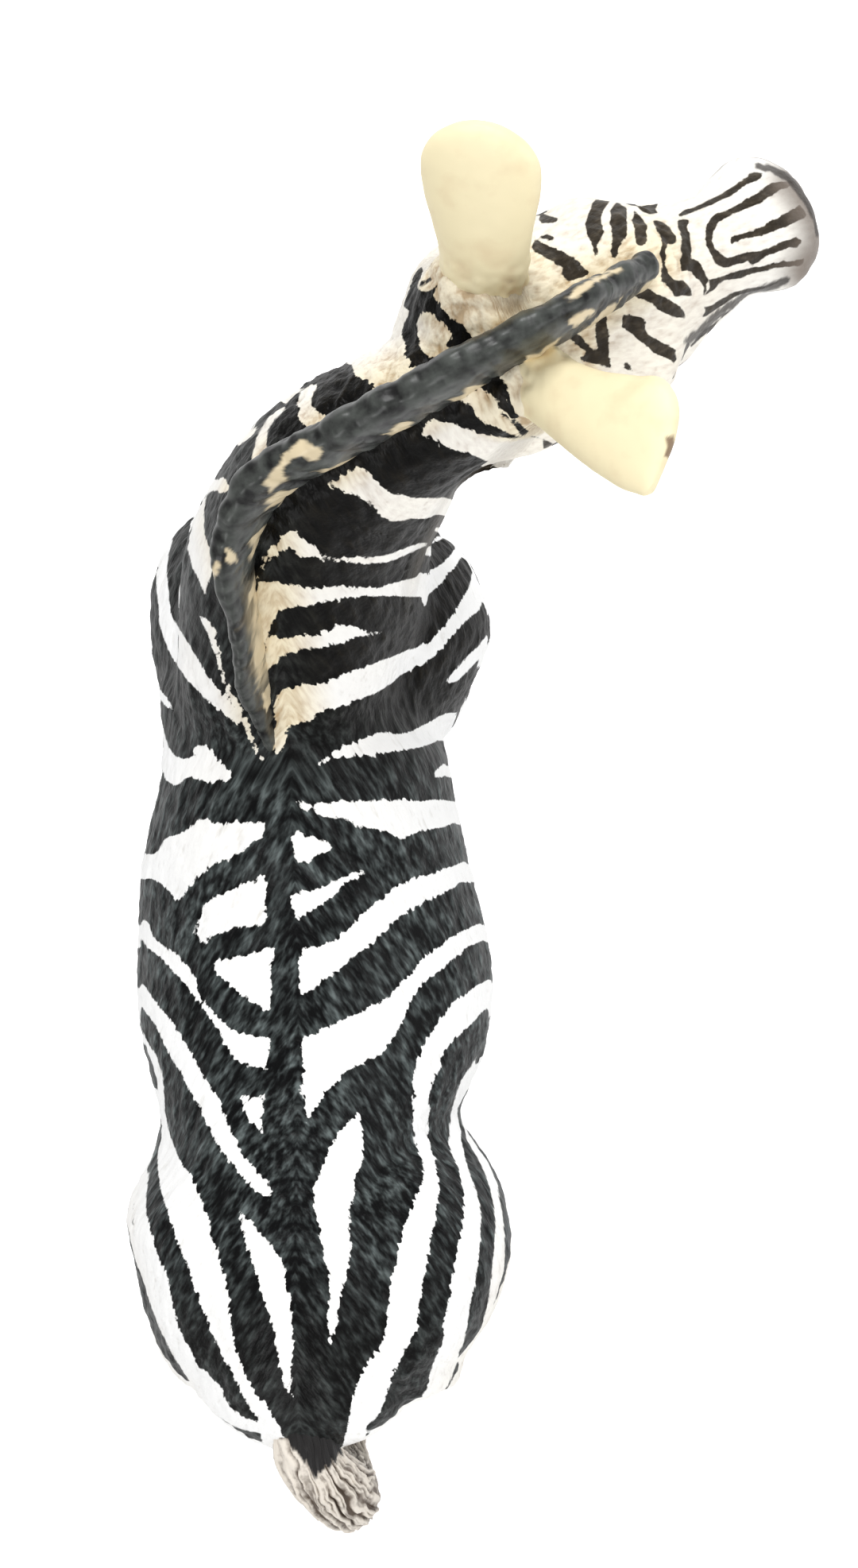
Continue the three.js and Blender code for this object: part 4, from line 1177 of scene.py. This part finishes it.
# How sharp the paint's edge is, in mm, the heights from the hollows to the hairs over which each
# colour goes from painted shade to painted highlight, and the scales of the fine noises.
edge_mm = 0.04
black_heights = (-0.9, 1.6)
cream_heights = (-1.6, 0.6)
white_heights = (-2.2, -0.6)
hair_scale = 0.9
speckle_scale = 2600
pore_scale = 2400
gloss_scale = 1500


def painted_hide():
    """Slate stripes on chalk white with a wavering edge, painted darker in the hollows and lighter on the
    hairs as shade and highlight, and the shades over them.
    """
    paint = Paint("painted_hide", 0.12)
    hairs = paint.noise(hair_scale, 2, paint.read("hair", "Vector"))
    speckle = paint.maths("MULTIPLY_ADD", paint.noise(speckle_scale, 3), 0.5, -0.65)
    edge = paint.maths("MULTIPLY", paint.maths("MULTIPLY_ADD", hairs, 0.8, speckle), paint.read("ragged"))
    whiteness = paint.ramp(paint.maths("ADD", paint.read("white"), edge), -edge_mm, edge_mm)
    # Painted shade and highlight: each colour darkens in the hollows of the hair and lightens where it stands
    # out.
    carved = paint.maths("MULTIPLY_ADD", paint.read("relief"), 0.7, -2.75)
    height = paint.maths("MULTIPLY_ADD", hairs, 5.5, carved)
    raised = paint.ramp(height, *black_heights)
    raised = paint.maths("MULTIPLY", raised, raised)
    black = paint.mix(paint.read("painted_shade"), paint.mix(raised, *slate), paint.mix(raised, *shaded_black))
    black = paint.mix(paint.read("head"), black, paint.mix(raised, *head_black))
    cream = paint.mix(paint.ramp(height, *cream_heights), *cream_shaded_to_lit)
    white = paint.mix(paint.ramp(height, *white_heights), *chalk)
    white = paint.mix(paint.read("cream"), white, cream)
    colour = paint.mix(whiteness, black, white)
    colour = paint.mix(paint.maths("MULTIPLY", paint.read("muzzle"), 0.9), colour, muzzle_grey)
    for name, over in (("shadow", shadow_black), ("hoof", hoof_black), ("eye", eye_black)):
        colour = paint.mix(paint.read(name), colour, over)
    paint.link(colour, paint.coat["Base Color"])
    matt = paint.maths("MULTIPLY_ADD", paint.noise(gloss_scale, 2), 0.2, 0.3)
    paint.link(paint.maths("MULTIPLY_ADD", paint.read("eye"), -0.35, matt), paint.coat["Roughness"])
    paint.emboss(paint.maths("MULTIPLY_ADD", paint.noise(pore_scale, 3), 0.4, hairs), 0.9, 0.12)
    return paint.material


def cut(mesh, name, planes):
    """A closed piece of a mesh: what lies past each plane, the cut filled flat with its edge kept sharp."""
    shape = bmesh.new()
    shape.from_mesh(mesh)
    for point, ahead in planes:
        made = bmesh.ops.bisect_plane(
            shape,
            geom=shape.verts[:] + shape.edges[:] + shape.faces[:],
            plane_co=Vector(point) * mm,
            plane_no=Vector(ahead),
            clear_inner=True,
        )
        rim = [item for item in made["geom_cut"] if isinstance(item, bmesh.types.BMEdge)]
        filled = bmesh.ops.triangle_fill(shape, edges=rim, use_beauty=False)
        faces = [item for item in filled["geom"] if isinstance(item, bmesh.types.BMFace)]
        for item in faces + rim:
            item.smooth = False
    bmesh.ops.recalc_face_normals(shape, faces=shape.faces)
    piece_mesh = bpy.data.meshes.new(name)
    shape.to_mesh(piece_mesh)
    shape.free()
    return piece_mesh


def add_piece(name, mesh, paint, slot, *nodes):
    """A finished piece, riding on the figure and standing for its solids."""
    piece = add_object(name, mesh)
    mesh.materials.clear()
    mesh.materials.append(paint)
    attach(piece, "root")
    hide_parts(*nodes)
    return piece


def shade_smooth(mesh):
    """Soft shading on every face."""
    mesh.polygons.foreach_set("use_smooth", np.ones(len(mesh.polygons), bool))


hide_paint = painted_hide()
whole_skins = {}
for grade, parts, voxel in (("body", forms, body_grain), ("head", forms[-2:], head_grain)):
    whole = joined_skin(parts, voxel)
    skin, normal, relief, places = modelled(whole, voxel)
    move_to(whole, skin)
    paint_skin(whole, skin, normal, relief, places)
    shade_smooth(whole)
    whole_skins[grade] = whole

# The planes at which the skin is cut: the seams of the neck, behind the jaws and below the elbows,
# and between the legs, each by a point and the way to what is kept.
elbow = (0, 0, 33.25)
between_pairs = (0, 10, 0)
between_sides = -middle - [spine_shift, 0, 0]
neck_point = neck_seam - middle
jaw_point = in_head(0.0, 0.7, -8.0)
jaw_ahead = unit(head_ahead * [1, 1, 0])
body = whole_skins["body"]
for name, whole, planes in (
    ("torso", body, [(neck_point, -neck_normal), (elbow, (0, 0, 1))]),
    ("neck", body, [(neck_point, neck_normal), (jaw_point, -jaw_ahead)]),
    ("head", whole_skins["head"], [(neck_point, neck_normal), (jaw_point, jaw_ahead)]),
):
    add_piece(name + "_skin", cut(whole, name + "_skin", planes), hide_paint, "hide", name)
for name, (rows, side, leg_x, leg_y) in leg_plan.items():
    own_pair = np.array([0, math.copysign(1, leg_y), 0])
    planes = [(elbow, (0, 0, -1)), (between_pairs, own_pair), (between_sides, (side, 0, 0))]
    add_piece(name + "_skin", cut(body, name, planes), hide_paint, "hide", name)

# Ears
# Each ear is its own moulding, a thick rounded leaf with a shallow cup on its front, left plain cream.
# Rows give the place up the ear, the half width, the half thickness and the drift to its front edge.
left_ear_rows = np.array([
    [-4.8, 1.5, 1.3, 0.0],
    [-3.2, 2.6, 2.0, 0.0],
    [0.0, 2.9, 2.1, 0.0],
    [1.8, 2.95, 2.0, 0.0],
    [4.1, 3.3, 1.9, 0.0],
    [6.5, 3.75, 1.65, 0.0],
    [8.7, 3.8, 1.35, 0.0],
    [10.3, 3.1, 1.05, 0.0],
    [11.3, 1.8, 0.7, 0.0],
    [11.7, 0.6, 0.3, 0.0],
])
right_ear_rows = np.array([
    [-4.8, 1.3, 1.3, -0.4],
    [-3.2, 2.2, 2.0, -0.3],
    [0.0, 2.4, 2.1, -0.2],
    [1.8, 2.4, 2.0, -0.1],
    [4.4, 2.75, 1.9, 0.2],
    [6.9, 3.3, 1.65, 0.75],
    [8.6, 3.65, 1.4, 1.2],
    [10.4, 3.3, 1.1, 1.05],
    [11.5, 2.4, 0.8, 0.5],
    [12.1, 1.3, 0.5, -0.4],
    [12.4, 0.4, 0.3, -1.0],
])
ear_steps = 12
ear_sides = 96
ear_fullness = 0.92
ear_lean = math.radians(5)
ear_facing = math.radians(45)
cup_up = (2.0, 5.0, 9.0, 11.6)
cup_depth = 1.6
cup_share = 1.45
ear_foot_up = (3.2, -0.5)
# The dark place at the right ear's rim, a painted shade, drawn over the picture.
ear_rim_shade = [(837, 550), (848, 548), (850, 562), (843, 577), (836, 574), (840, 562)]
# The ear's cream, the tan it darkens to, mottled and as painted shade in the hollows of its lumps, and the
# brown of painted shade in the cup, at the rim and in the crevices.
ear_cream = (0.92, 0.815, 0.535)
ear_tan = (0.78, 0.61, 0.38)
ear_shade_brown = (0.2, 0.12, 0.07)


def grain_over(grid, size, seed):
    """Noise over a grid of places, in lumps of a size."""
    return grain(grid.reshape(-1, 3) / size, seed).reshape(grid.shape[:2])


def ear_shape(rows, side, splay, pull):
    """An oval leaf along the ear, with its front pressed in where the cup is: deepest in the middle."""
    root = in_head(side * ear_root[0], ear_root[1], ear_root[2])
    out = head_right * side
    axis = unit(head_up * math.cos(splay) + out * math.sin(splay) - head_ahead * math.sin(ear_lean) + pull)
    back = -head_ahead * math.cos(ear_facing) - out * math.sin(ear_facing)
    back = unit(back - axis * (back @ axis))
    wide = np.cross(back, axis)
    table = smooth_rows(rows, ear_steps)
    up, half_width, half_depth, drift = (table[:, k : k + 1] for k in range(4))
    centre = root + up * axis + drift * wide
    every_ring = (len(table), 1)
    across = np.tile(wide, every_ring)
    behind = np.tile(back, every_ring)
    grid = oval_skin(centre, across, behind, table[:, 1], table[:, 2], ear_sides, ear_fullness)
    off = grid - centre[:, None, :]
    front = step(0.1, -0.8, (off @ back) / half_depth)
    cup = between(up, *cup_up) * step(0.95, 0.3, np.abs((off @ wide) / half_width)) * front
    lumps = 0.6 * grain_over(grid, 1.2, 21) + 0.5 * grain_over(grid, 0.55, 22)
    lumps = lumps * (0.03 + 0.3 * step(*ear_foot_up, up))
    grid = grid + (cup * np.minimum(cup_depth, cup_share * half_depth))[..., None] * back
    return grid + lumps[..., None] * unit(off), cup, lumps


def relief_vinyl(name, light, dark, deep, gloss, mottling):
    """Vinyl in three shades: dark in the hollows as painted shade, light on what stands out as painted
    highlight, and deep where marked.
    """
    paint = Paint(name, 0.35)
    mottle = paint.noise(mottling, 4)
    shade = paint.ramp(paint.maths("ADD", paint.read("relief"), mottle), 0.2, 0.8)
    colour = paint.mix(paint.read("deep"), paint.mix(shade, dark, light), deep)
    paint.link(colour, paint.coat["Base Color"])
    paint.coat["Roughness"].default_value = gloss
    paint.emboss(mottle, 0.35, 0.06)
    return paint.material


def smooth_mesh(name, grid, relief, deep):
    """A closed mesh of rings with soft shading, and its relief and deep marks kept on its points."""
    mesh = mesh_of_rings(name, grid)
    shade_smooth(mesh)
    for kind, values in (("relief", relief), ("deep", deep)):
        values = np.broadcast_to(values, grid.shape[:2])
        keep_on(mesh, kind, np.concatenate([values.ravel(), values[[0, -1], 0]]))
    return mesh


ear_paint = relief_vinyl("cream_ears", ear_cream, ear_tan, ear_shade_brown, 0.5, 450)
for name, rows, side, splay, pull in (
    ("left_ear", left_ear_rows, -1, math.radians(37), np.array([0.1, 0.11, 0])),
    ("right_ear", right_ear_rows, 1, math.radians(44), np.array([0.02, 0.12, -0.03])),
):
    grid, cup, lumps = ear_shape(rows, side, splay, pull)
    # Painted shade, in brown: in the cup, at the rim where the cup shows dark, and in the crevices between
    # the lumps.
    rim_shade = step(-2, 2, inside_by(on_photo(grid.reshape(-1, 3))[0], ear_rim_shade)).reshape(cup.shape)
    crevice_shade = step(0.1, 0.6, grain_over(grid, 0.9, 23)) * step(-0.02, -0.2, lumps)
    deep = np.maximum(np.maximum(0.8 * step(0.35, 0.95, cup), 0.9 * rim_shade), 0.45 * crevice_shade)
    mesh = smooth_mesh(name + "_leaf", grid, 0.3 + 2.2 * lumps, deep)
    add_piece(name + "_leaf", mesh, ear_paint, "ear_cream", name)

# Mane
# A stiff brush of hair in one thin moulding, set in a groove from the withers over the poll to the
# forehead. Rows give the foot as a point, the height, the half thickness and the lean to the left.
mane_rows = np.array([
    [0.0, -3.6, 69.3, 0.5, 0.4, 0.4],
    [0.1, -6.9, 71.8, 2.3, 0.5, 1.0],
    [0.2, -10.5, 74.5, 4.0, 0.62, 1.6],
    [0.6, -16.9, 80.4, 5.0, 0.85, 0.6],
    [-1.8, -21.2, 84.8, 5.25, 1.25, 0.1],
    [-7.2, -23.8, 88.0, 5.4, 1.35, 0.0],
    [-13.3, -26.6, 90.3, 5.5, 1.3, 0.0],
])
mane_head_rows = np.array([
    [1.5, 1.3, -0.8, 5.3, 1.2, 0.0],
    [1.25, 5.7, 0.0, 4.3, 1.06, 0.0],
    [0.85, 9.2, 0.5, 2.9, 1.0, 0.0],
    [0.55, 11.2, 0.6, 2.0, 0.98, 0.0],
    [0.45, 11.5, 0.6, 1.3, 0.6, 0.0],
])
mane_steps = 36
mane_sides = 120
mane_fullness = 0.72
mane_root = 1.8
tuft_length = 0.9
tuft_height = 0.35
hair_relief = 0.12
tuft_start = (0, 4)
cream_tuft_count = 1.25
low_right_travel = (5, 8, 13, 17.5)
low_right_up = (0.8, 0.45)
flank_up = (0.55, 0.4)
flank_bow = (0.3, 0.7)
lock_width = 0.6
lock_length = 2.6
lock_slant = 0.3
flank_gap = 9
knob_size = 0.55

# The cream streaks on the mane, drawn over the picture.
mane_cream = [
    [(334, 608), (338, 600), (345, 592), (352, 582), (360, 570), (370, 560), (378, 553), (386, 556),
     (395, 562), (405, 562), (407, 568), (398, 578), (390, 580), (380, 573), (370, 576), (362, 584),
     (358, 595), (362, 605), (350, 612), (340, 618)],
    [(716, 404), (722, 397), (732, 392), (745, 388), (750, 392), (740, 400), (730, 407), (722, 412)],
    [(712, 374), (730, 360), (750, 349), (768, 340), (782, 334), (784, 339), (768, 347), (750, 357),
     (732, 369), (718, 379)],
    [(283, 693), (290, 690), (296, 697), (298, 706), (290, 709), (284, 703)],
    [(265, 716), (272, 708), (277, 712), (272, 724), (266, 735), (262, 730)],
]
# The mane's own dark paint, slate where its hair stands out and black in the hollows as painted highlight and
# shade, and the cream of its streaks.
mane_slate = (0.062, 0.068, 0.062)
mane_black = (0.003, 0.003, 0.003)
mane_cream_colour = (0.68, 0.57, 0.38)


def travel_along(path):
    """The way gone along a path at each of its points."""
    return np.concatenate([[0], np.cumsum(np.linalg.norm(np.diff(path, axis=0), axis=1))])


def strands_over(across, along, row):
    """Places for the noise of strands, from numbers across the hair, along it and from row to row."""
    return np.stack(np.broadcast_arrays(across, along, row), axis=2)


mane_rows[:, :3] -= middle
mane_head_rows[:, :3] = in_head(*mane_head_rows[:, :3].T)
table = smooth_rows(np.concatenate([mane_rows, mane_head_rows]), mane_steps)
foot = table[:, :3]
height, half_width, lean = (table[:, k : k + 1] for k in (3, 4, 5))
ahead = unit(np.gradient(foot, axis=0))
up = unit(np.array([0, 0, 1]) - ahead * ahead[:, 2:3])
travel = travel_along(foot)[:, None]
tuft_places = np.concatenate([travel / tuft_length, travel * 0, travel * 0], axis=1)
tufts = 0.6 * grain(tuft_places, 31)[:, None] * step(*tuft_start, travel)
top = foot + up * (height + tuft_height * tufts) + lean * np.array([1.0, 0, 0])
thickness = (half_width * (1 + 0.1 * tufts))[:, 0]
grid = guided_skin(top, foot - up * mane_root, thickness, mane_sides, mane_fullness)
middle_line = grid.mean(axis=1, keepdims=True)
rise = ((grid - foot[:, None, :]) * up[:, None, :]).sum(axis=2)
share_up = rise / np.maximum(height, 1)
turn = np.linspace(0, 2 * np.pi, mane_sides, endpoint=False)
flank = np.sign(np.cos(turn))[None, :]
bow = np.abs(np.cos(turn))[None, :]
locks = strands_over(travel / lock_width + lock_slant * rise, rise / lock_length, flank * flank_gap)
strand = grain_over(locks, 1, 32) + 0.6 * grain_over(locks * [2.2, 1.3, 1], 1, 33)
knobs = grain_over(grid, knob_size, 34)
relief = strand * (0.4 + 0.6 * bow) + 0.7 * knobs
grid = grid + unit(grid - middle_line) * (hair_relief * relief * step(-0.6, 0.6, rise))[..., None]
streaks = inside_any(on_photo(grid.reshape(-1, 3))[0], mane_cream).reshape(rise.shape)
streaks = step(-2, 2, streaks + 3 * grain_over(grid, 0.4, 35))
tuft_row = np.sin(travel * cream_tuft_count + 0.8 * strand + 0.4 * flank + 2.2) - 0.3
on_flank = step(*flank_up, share_up + 0.12 * strand) * step(*flank_bow, bow)
low_right = (flank < 0) * between(travel, *low_right_travel)
low_right = low_right * step(*low_right_up, share_up + 0.2 * strand)
low_right = low_right * (0.35 + 0.65 * step(-0.8, 0.4, strand + 0.5 * knobs))
cream_marks = np.clip(streaks + on_flank * step(-0.1, 0.1, tuft_row) + low_right, 0, 1)
mane_mesh = smooth_mesh("mane_brush", grid, 0.34 * relief, cream_marks)
mane_paint = relief_vinyl("slate_mane", mane_slate, mane_black, mane_cream_colour, 0.36, 1300)
add_piece("mane_brush", mane_mesh, mane_paint, "mane_black", "mane")

# Tail
# The tail hangs against the rump, thick and roped with hair, and is glued into a socket under the
# dock. Rows give the way back, down and right of the dock, the half width and the half depth.
tail_rows = np.array([
    [-3.0, -0.8, -0.3, 2.3, 2.0],
    [1.0, -0.3, 0.2, 2.6, 2.3],
    [4.2, 2.4, 1.5, 2.7, 2.6],
    [6.9, 7.4, 2.6, 2.7, 2.8],
    [7.5, 13.5, 1.8, 2.5, 2.7],
    [7.0, 20.5, 0.6, 2.4, 2.6],
    [5.9, 27.5, 0.2, 2.2, 2.3],
    [4.6, 34.2, 0.3, 1.6, 1.7],
    [3.9, 38.2, 0.4, 0.9, 0.9],
    [3.5, 39.6, 0.4, 0.35, 0.35],
])
tail_steps = 24
tail_sides = 288
strand_count = 17
strand_depth = 0.24
twist_rate = 0.02
tip_travel = (30, 38)
dock_travel = (12, 6)
smooth_travel = (6, 2)
brown_travel = (8, 3)
black_facing = (0.0, 0.3)
black_edge_mm = 0.12
rope_share = (-0.5, 0.8)
fibre_length = 2.5
dock = np.array([-1.3, 51.3, 60.2]) - middle

# The black of the dock, which runs to a point on the tail, drawn over the picture.
dock_black = [
    (340, 1780), (357, 1808), (365, 1818), (375, 1825), (382, 1838), (390, 1847), (397, 1860),
    (404, 1850), (414, 1846), (424, 1838), (430, 1825), (435, 1805), (440, 1780),
]
# The tail's grey, the brown it darkens to in the grooves between strands as painted shade, and the black of
# the dock and tip.
tail_grey = (0.74, 0.68, 0.6)
tail_brown = (0.1, 0.07, 0.048)
tail_black = (0.004, 0.003, 0.003)
table = smooth_rows(tail_rows, tail_steps)
centre = dock + np.stack([-table[:, 2], table[:, 0], -table[:, 1]], axis=1)
ahead = unit(np.gradient(centre, axis=0))
across = np.tile([1.0, 0, 0], (len(table), 1))
up = unit(np.cross(ahead, across))
turn = np.linspace(0, 2 * np.pi, tail_sides, endpoint=False)[None, :]
travel = travel_along(centre)[:, None]
grid = oval_skin(centre, across, up, table[:, 3], table[:, 4], tail_sides)
wander = grain_over(grid, 1.7, 41) + 0.5 * grain_over(grid, 0.8, 43)
twist = strand_count * (turn + 0.1 * np.sin(3 * turn) + travel * twist_rate) + 2.4 * wander
fibres = strands_over(twist * 1.1, travel / fibre_length, 0)
strand = np.abs(np.sin(twist / 2)) * 1.2 - 0.8 + 0.9 * grain_over(fibres, 1, 42)
pixels, scale = on_photo(grid.reshape(-1, 3))
outwards = unit(grid - centre[:, None, :])
facing_up = step(*black_facing, outwards[..., 2] + 0.5 * step(*dock_travel, travel))
black = (inside_by(pixels, dock_black) / scale).reshape(strand.shape) + 0.2 * strand
black = step(-black_edge_mm, black_edge_mm, black) * facing_up
tip = step(*tip_travel, travel + 1.5 * strand.mean(axis=1, keepdims=True))
roped = step(*rope_share, 1 - black - step(*smooth_travel, travel))
depth = strand_depth * strand * (0.35 + 0.65 * roped) * step(0, 2, table[:, 3:4])
grid = grid + outwards * depth[..., None]
near_dock = step(*brown_travel, travel) * (1 - black)
tail_relief = 0.5 * strand * roped + 0.3 * near_dock
tail_mesh = smooth_mesh("tail_rope", grid, tail_relief, np.maximum(black, 0.75 * tip))
tail_paint = relief_vinyl("grey_tail", tail_grey, tail_brown, tail_black, 0.55, 1300)
add_piece("tail_rope", tail_mesh, tail_paint, "tail_grey", "tail")

# Table and light
# The figure stands on a pale table under three wide, soft lamps. To the camera alone the table glows
# and the room is white, so that the background is white with no more light on the figure.
floor_half = 1.5
floor_shade = (0.9, 0.9, 0.9, 1)
floor_glow = 0.5
room_white = (1, 1, 1, 1)
room_light = 0.58
lamps = (
    ("lamp_front", (0.0, -0.4, 0.5), 0.25, 2.2),
    ("lamp_side", (-0.45, 0.1, 0.4), 0.3, 0.9),
    ("lamp_back", (0.15, 0.5, 0.4), 0.3, 1.3),
)


def to_camera(nodes, link, usual, shown):
    """One of two shaders: what the camera's own rays meet, and what all other light meets."""
    rays = nodes.new("ShaderNodeLightPath")
    chosen = nodes.new("ShaderNodeMixShader")
    link(rays.outputs["Is Camera Ray"], chosen.inputs["Fac"])
    link(usual, chosen.inputs[1])
    link(shown, chosen.inputs[2])
    return chosen.outputs[0]


floor_mesh = bpy.data.meshes.new("floor")
floor_corners = [(x * floor_half, y * floor_half, 0) for x, y in ((-1, -1), (1, -1), (1, 1), (-1, 1))]
floor_mesh.from_pydata(floor_corners, [], [(0, 1, 2, 3)])
floor = add_object("floor", floor_mesh)
pale = bpy.data.materials.new("pale_table")
pale.use_nodes = True
nodes = pale.node_tree.nodes
link = pale.node_tree.links.new
top_coat = nodes["Principled BSDF"]
top_coat.inputs["Base Color"].default_value = floor_shade
top_coat.inputs["Roughness"].default_value = 0.9
glow = nodes.new("ShaderNodeEmission")
glow.inputs["Strength"].default_value = floor_glow
added = nodes.new("ShaderNodeAddShader")
link(top_coat.outputs[0], added.inputs[0])
link(glow.outputs[0], added.inputs[1])
surface = to_camera(nodes, link, top_coat.outputs[0], added.outputs[0])
link(surface, nodes["Material Output"].inputs["Surface"])
floor_mesh.materials.append(pale)

world = bpy.data.worlds.new("studio")
bpy.context.scene.world = world
world.use_nodes = True
nodes = world.node_tree.nodes
link = world.node_tree.links.new
sky = nodes["Background"]
backdrop = nodes.new("ShaderNodeBackground")
for light, strength in ((sky, room_light), (backdrop, 1)):
    light.inputs["Color"].default_value = room_white
    light.inputs["Strength"].default_value = strength
surface = to_camera(nodes, link, sky.outputs[0], backdrop.outputs[0])
link(surface, nodes["World Output"].inputs["Surface"])
for name, place, size, power in lamps:
    lamp = bpy.data.lights.new(name, "AREA")
    lamp.size = size
    lamp.energy = power
    holder = add_object(name, lamp)
    aim = Vector(place).to_track_quat("Z", "Y").to_matrix().to_4x4()
    holder.matrix_world = Matrix.Translation(Vector(place)) @ aim
bpy.context.scene.view_settings.view_transform = "Standard"
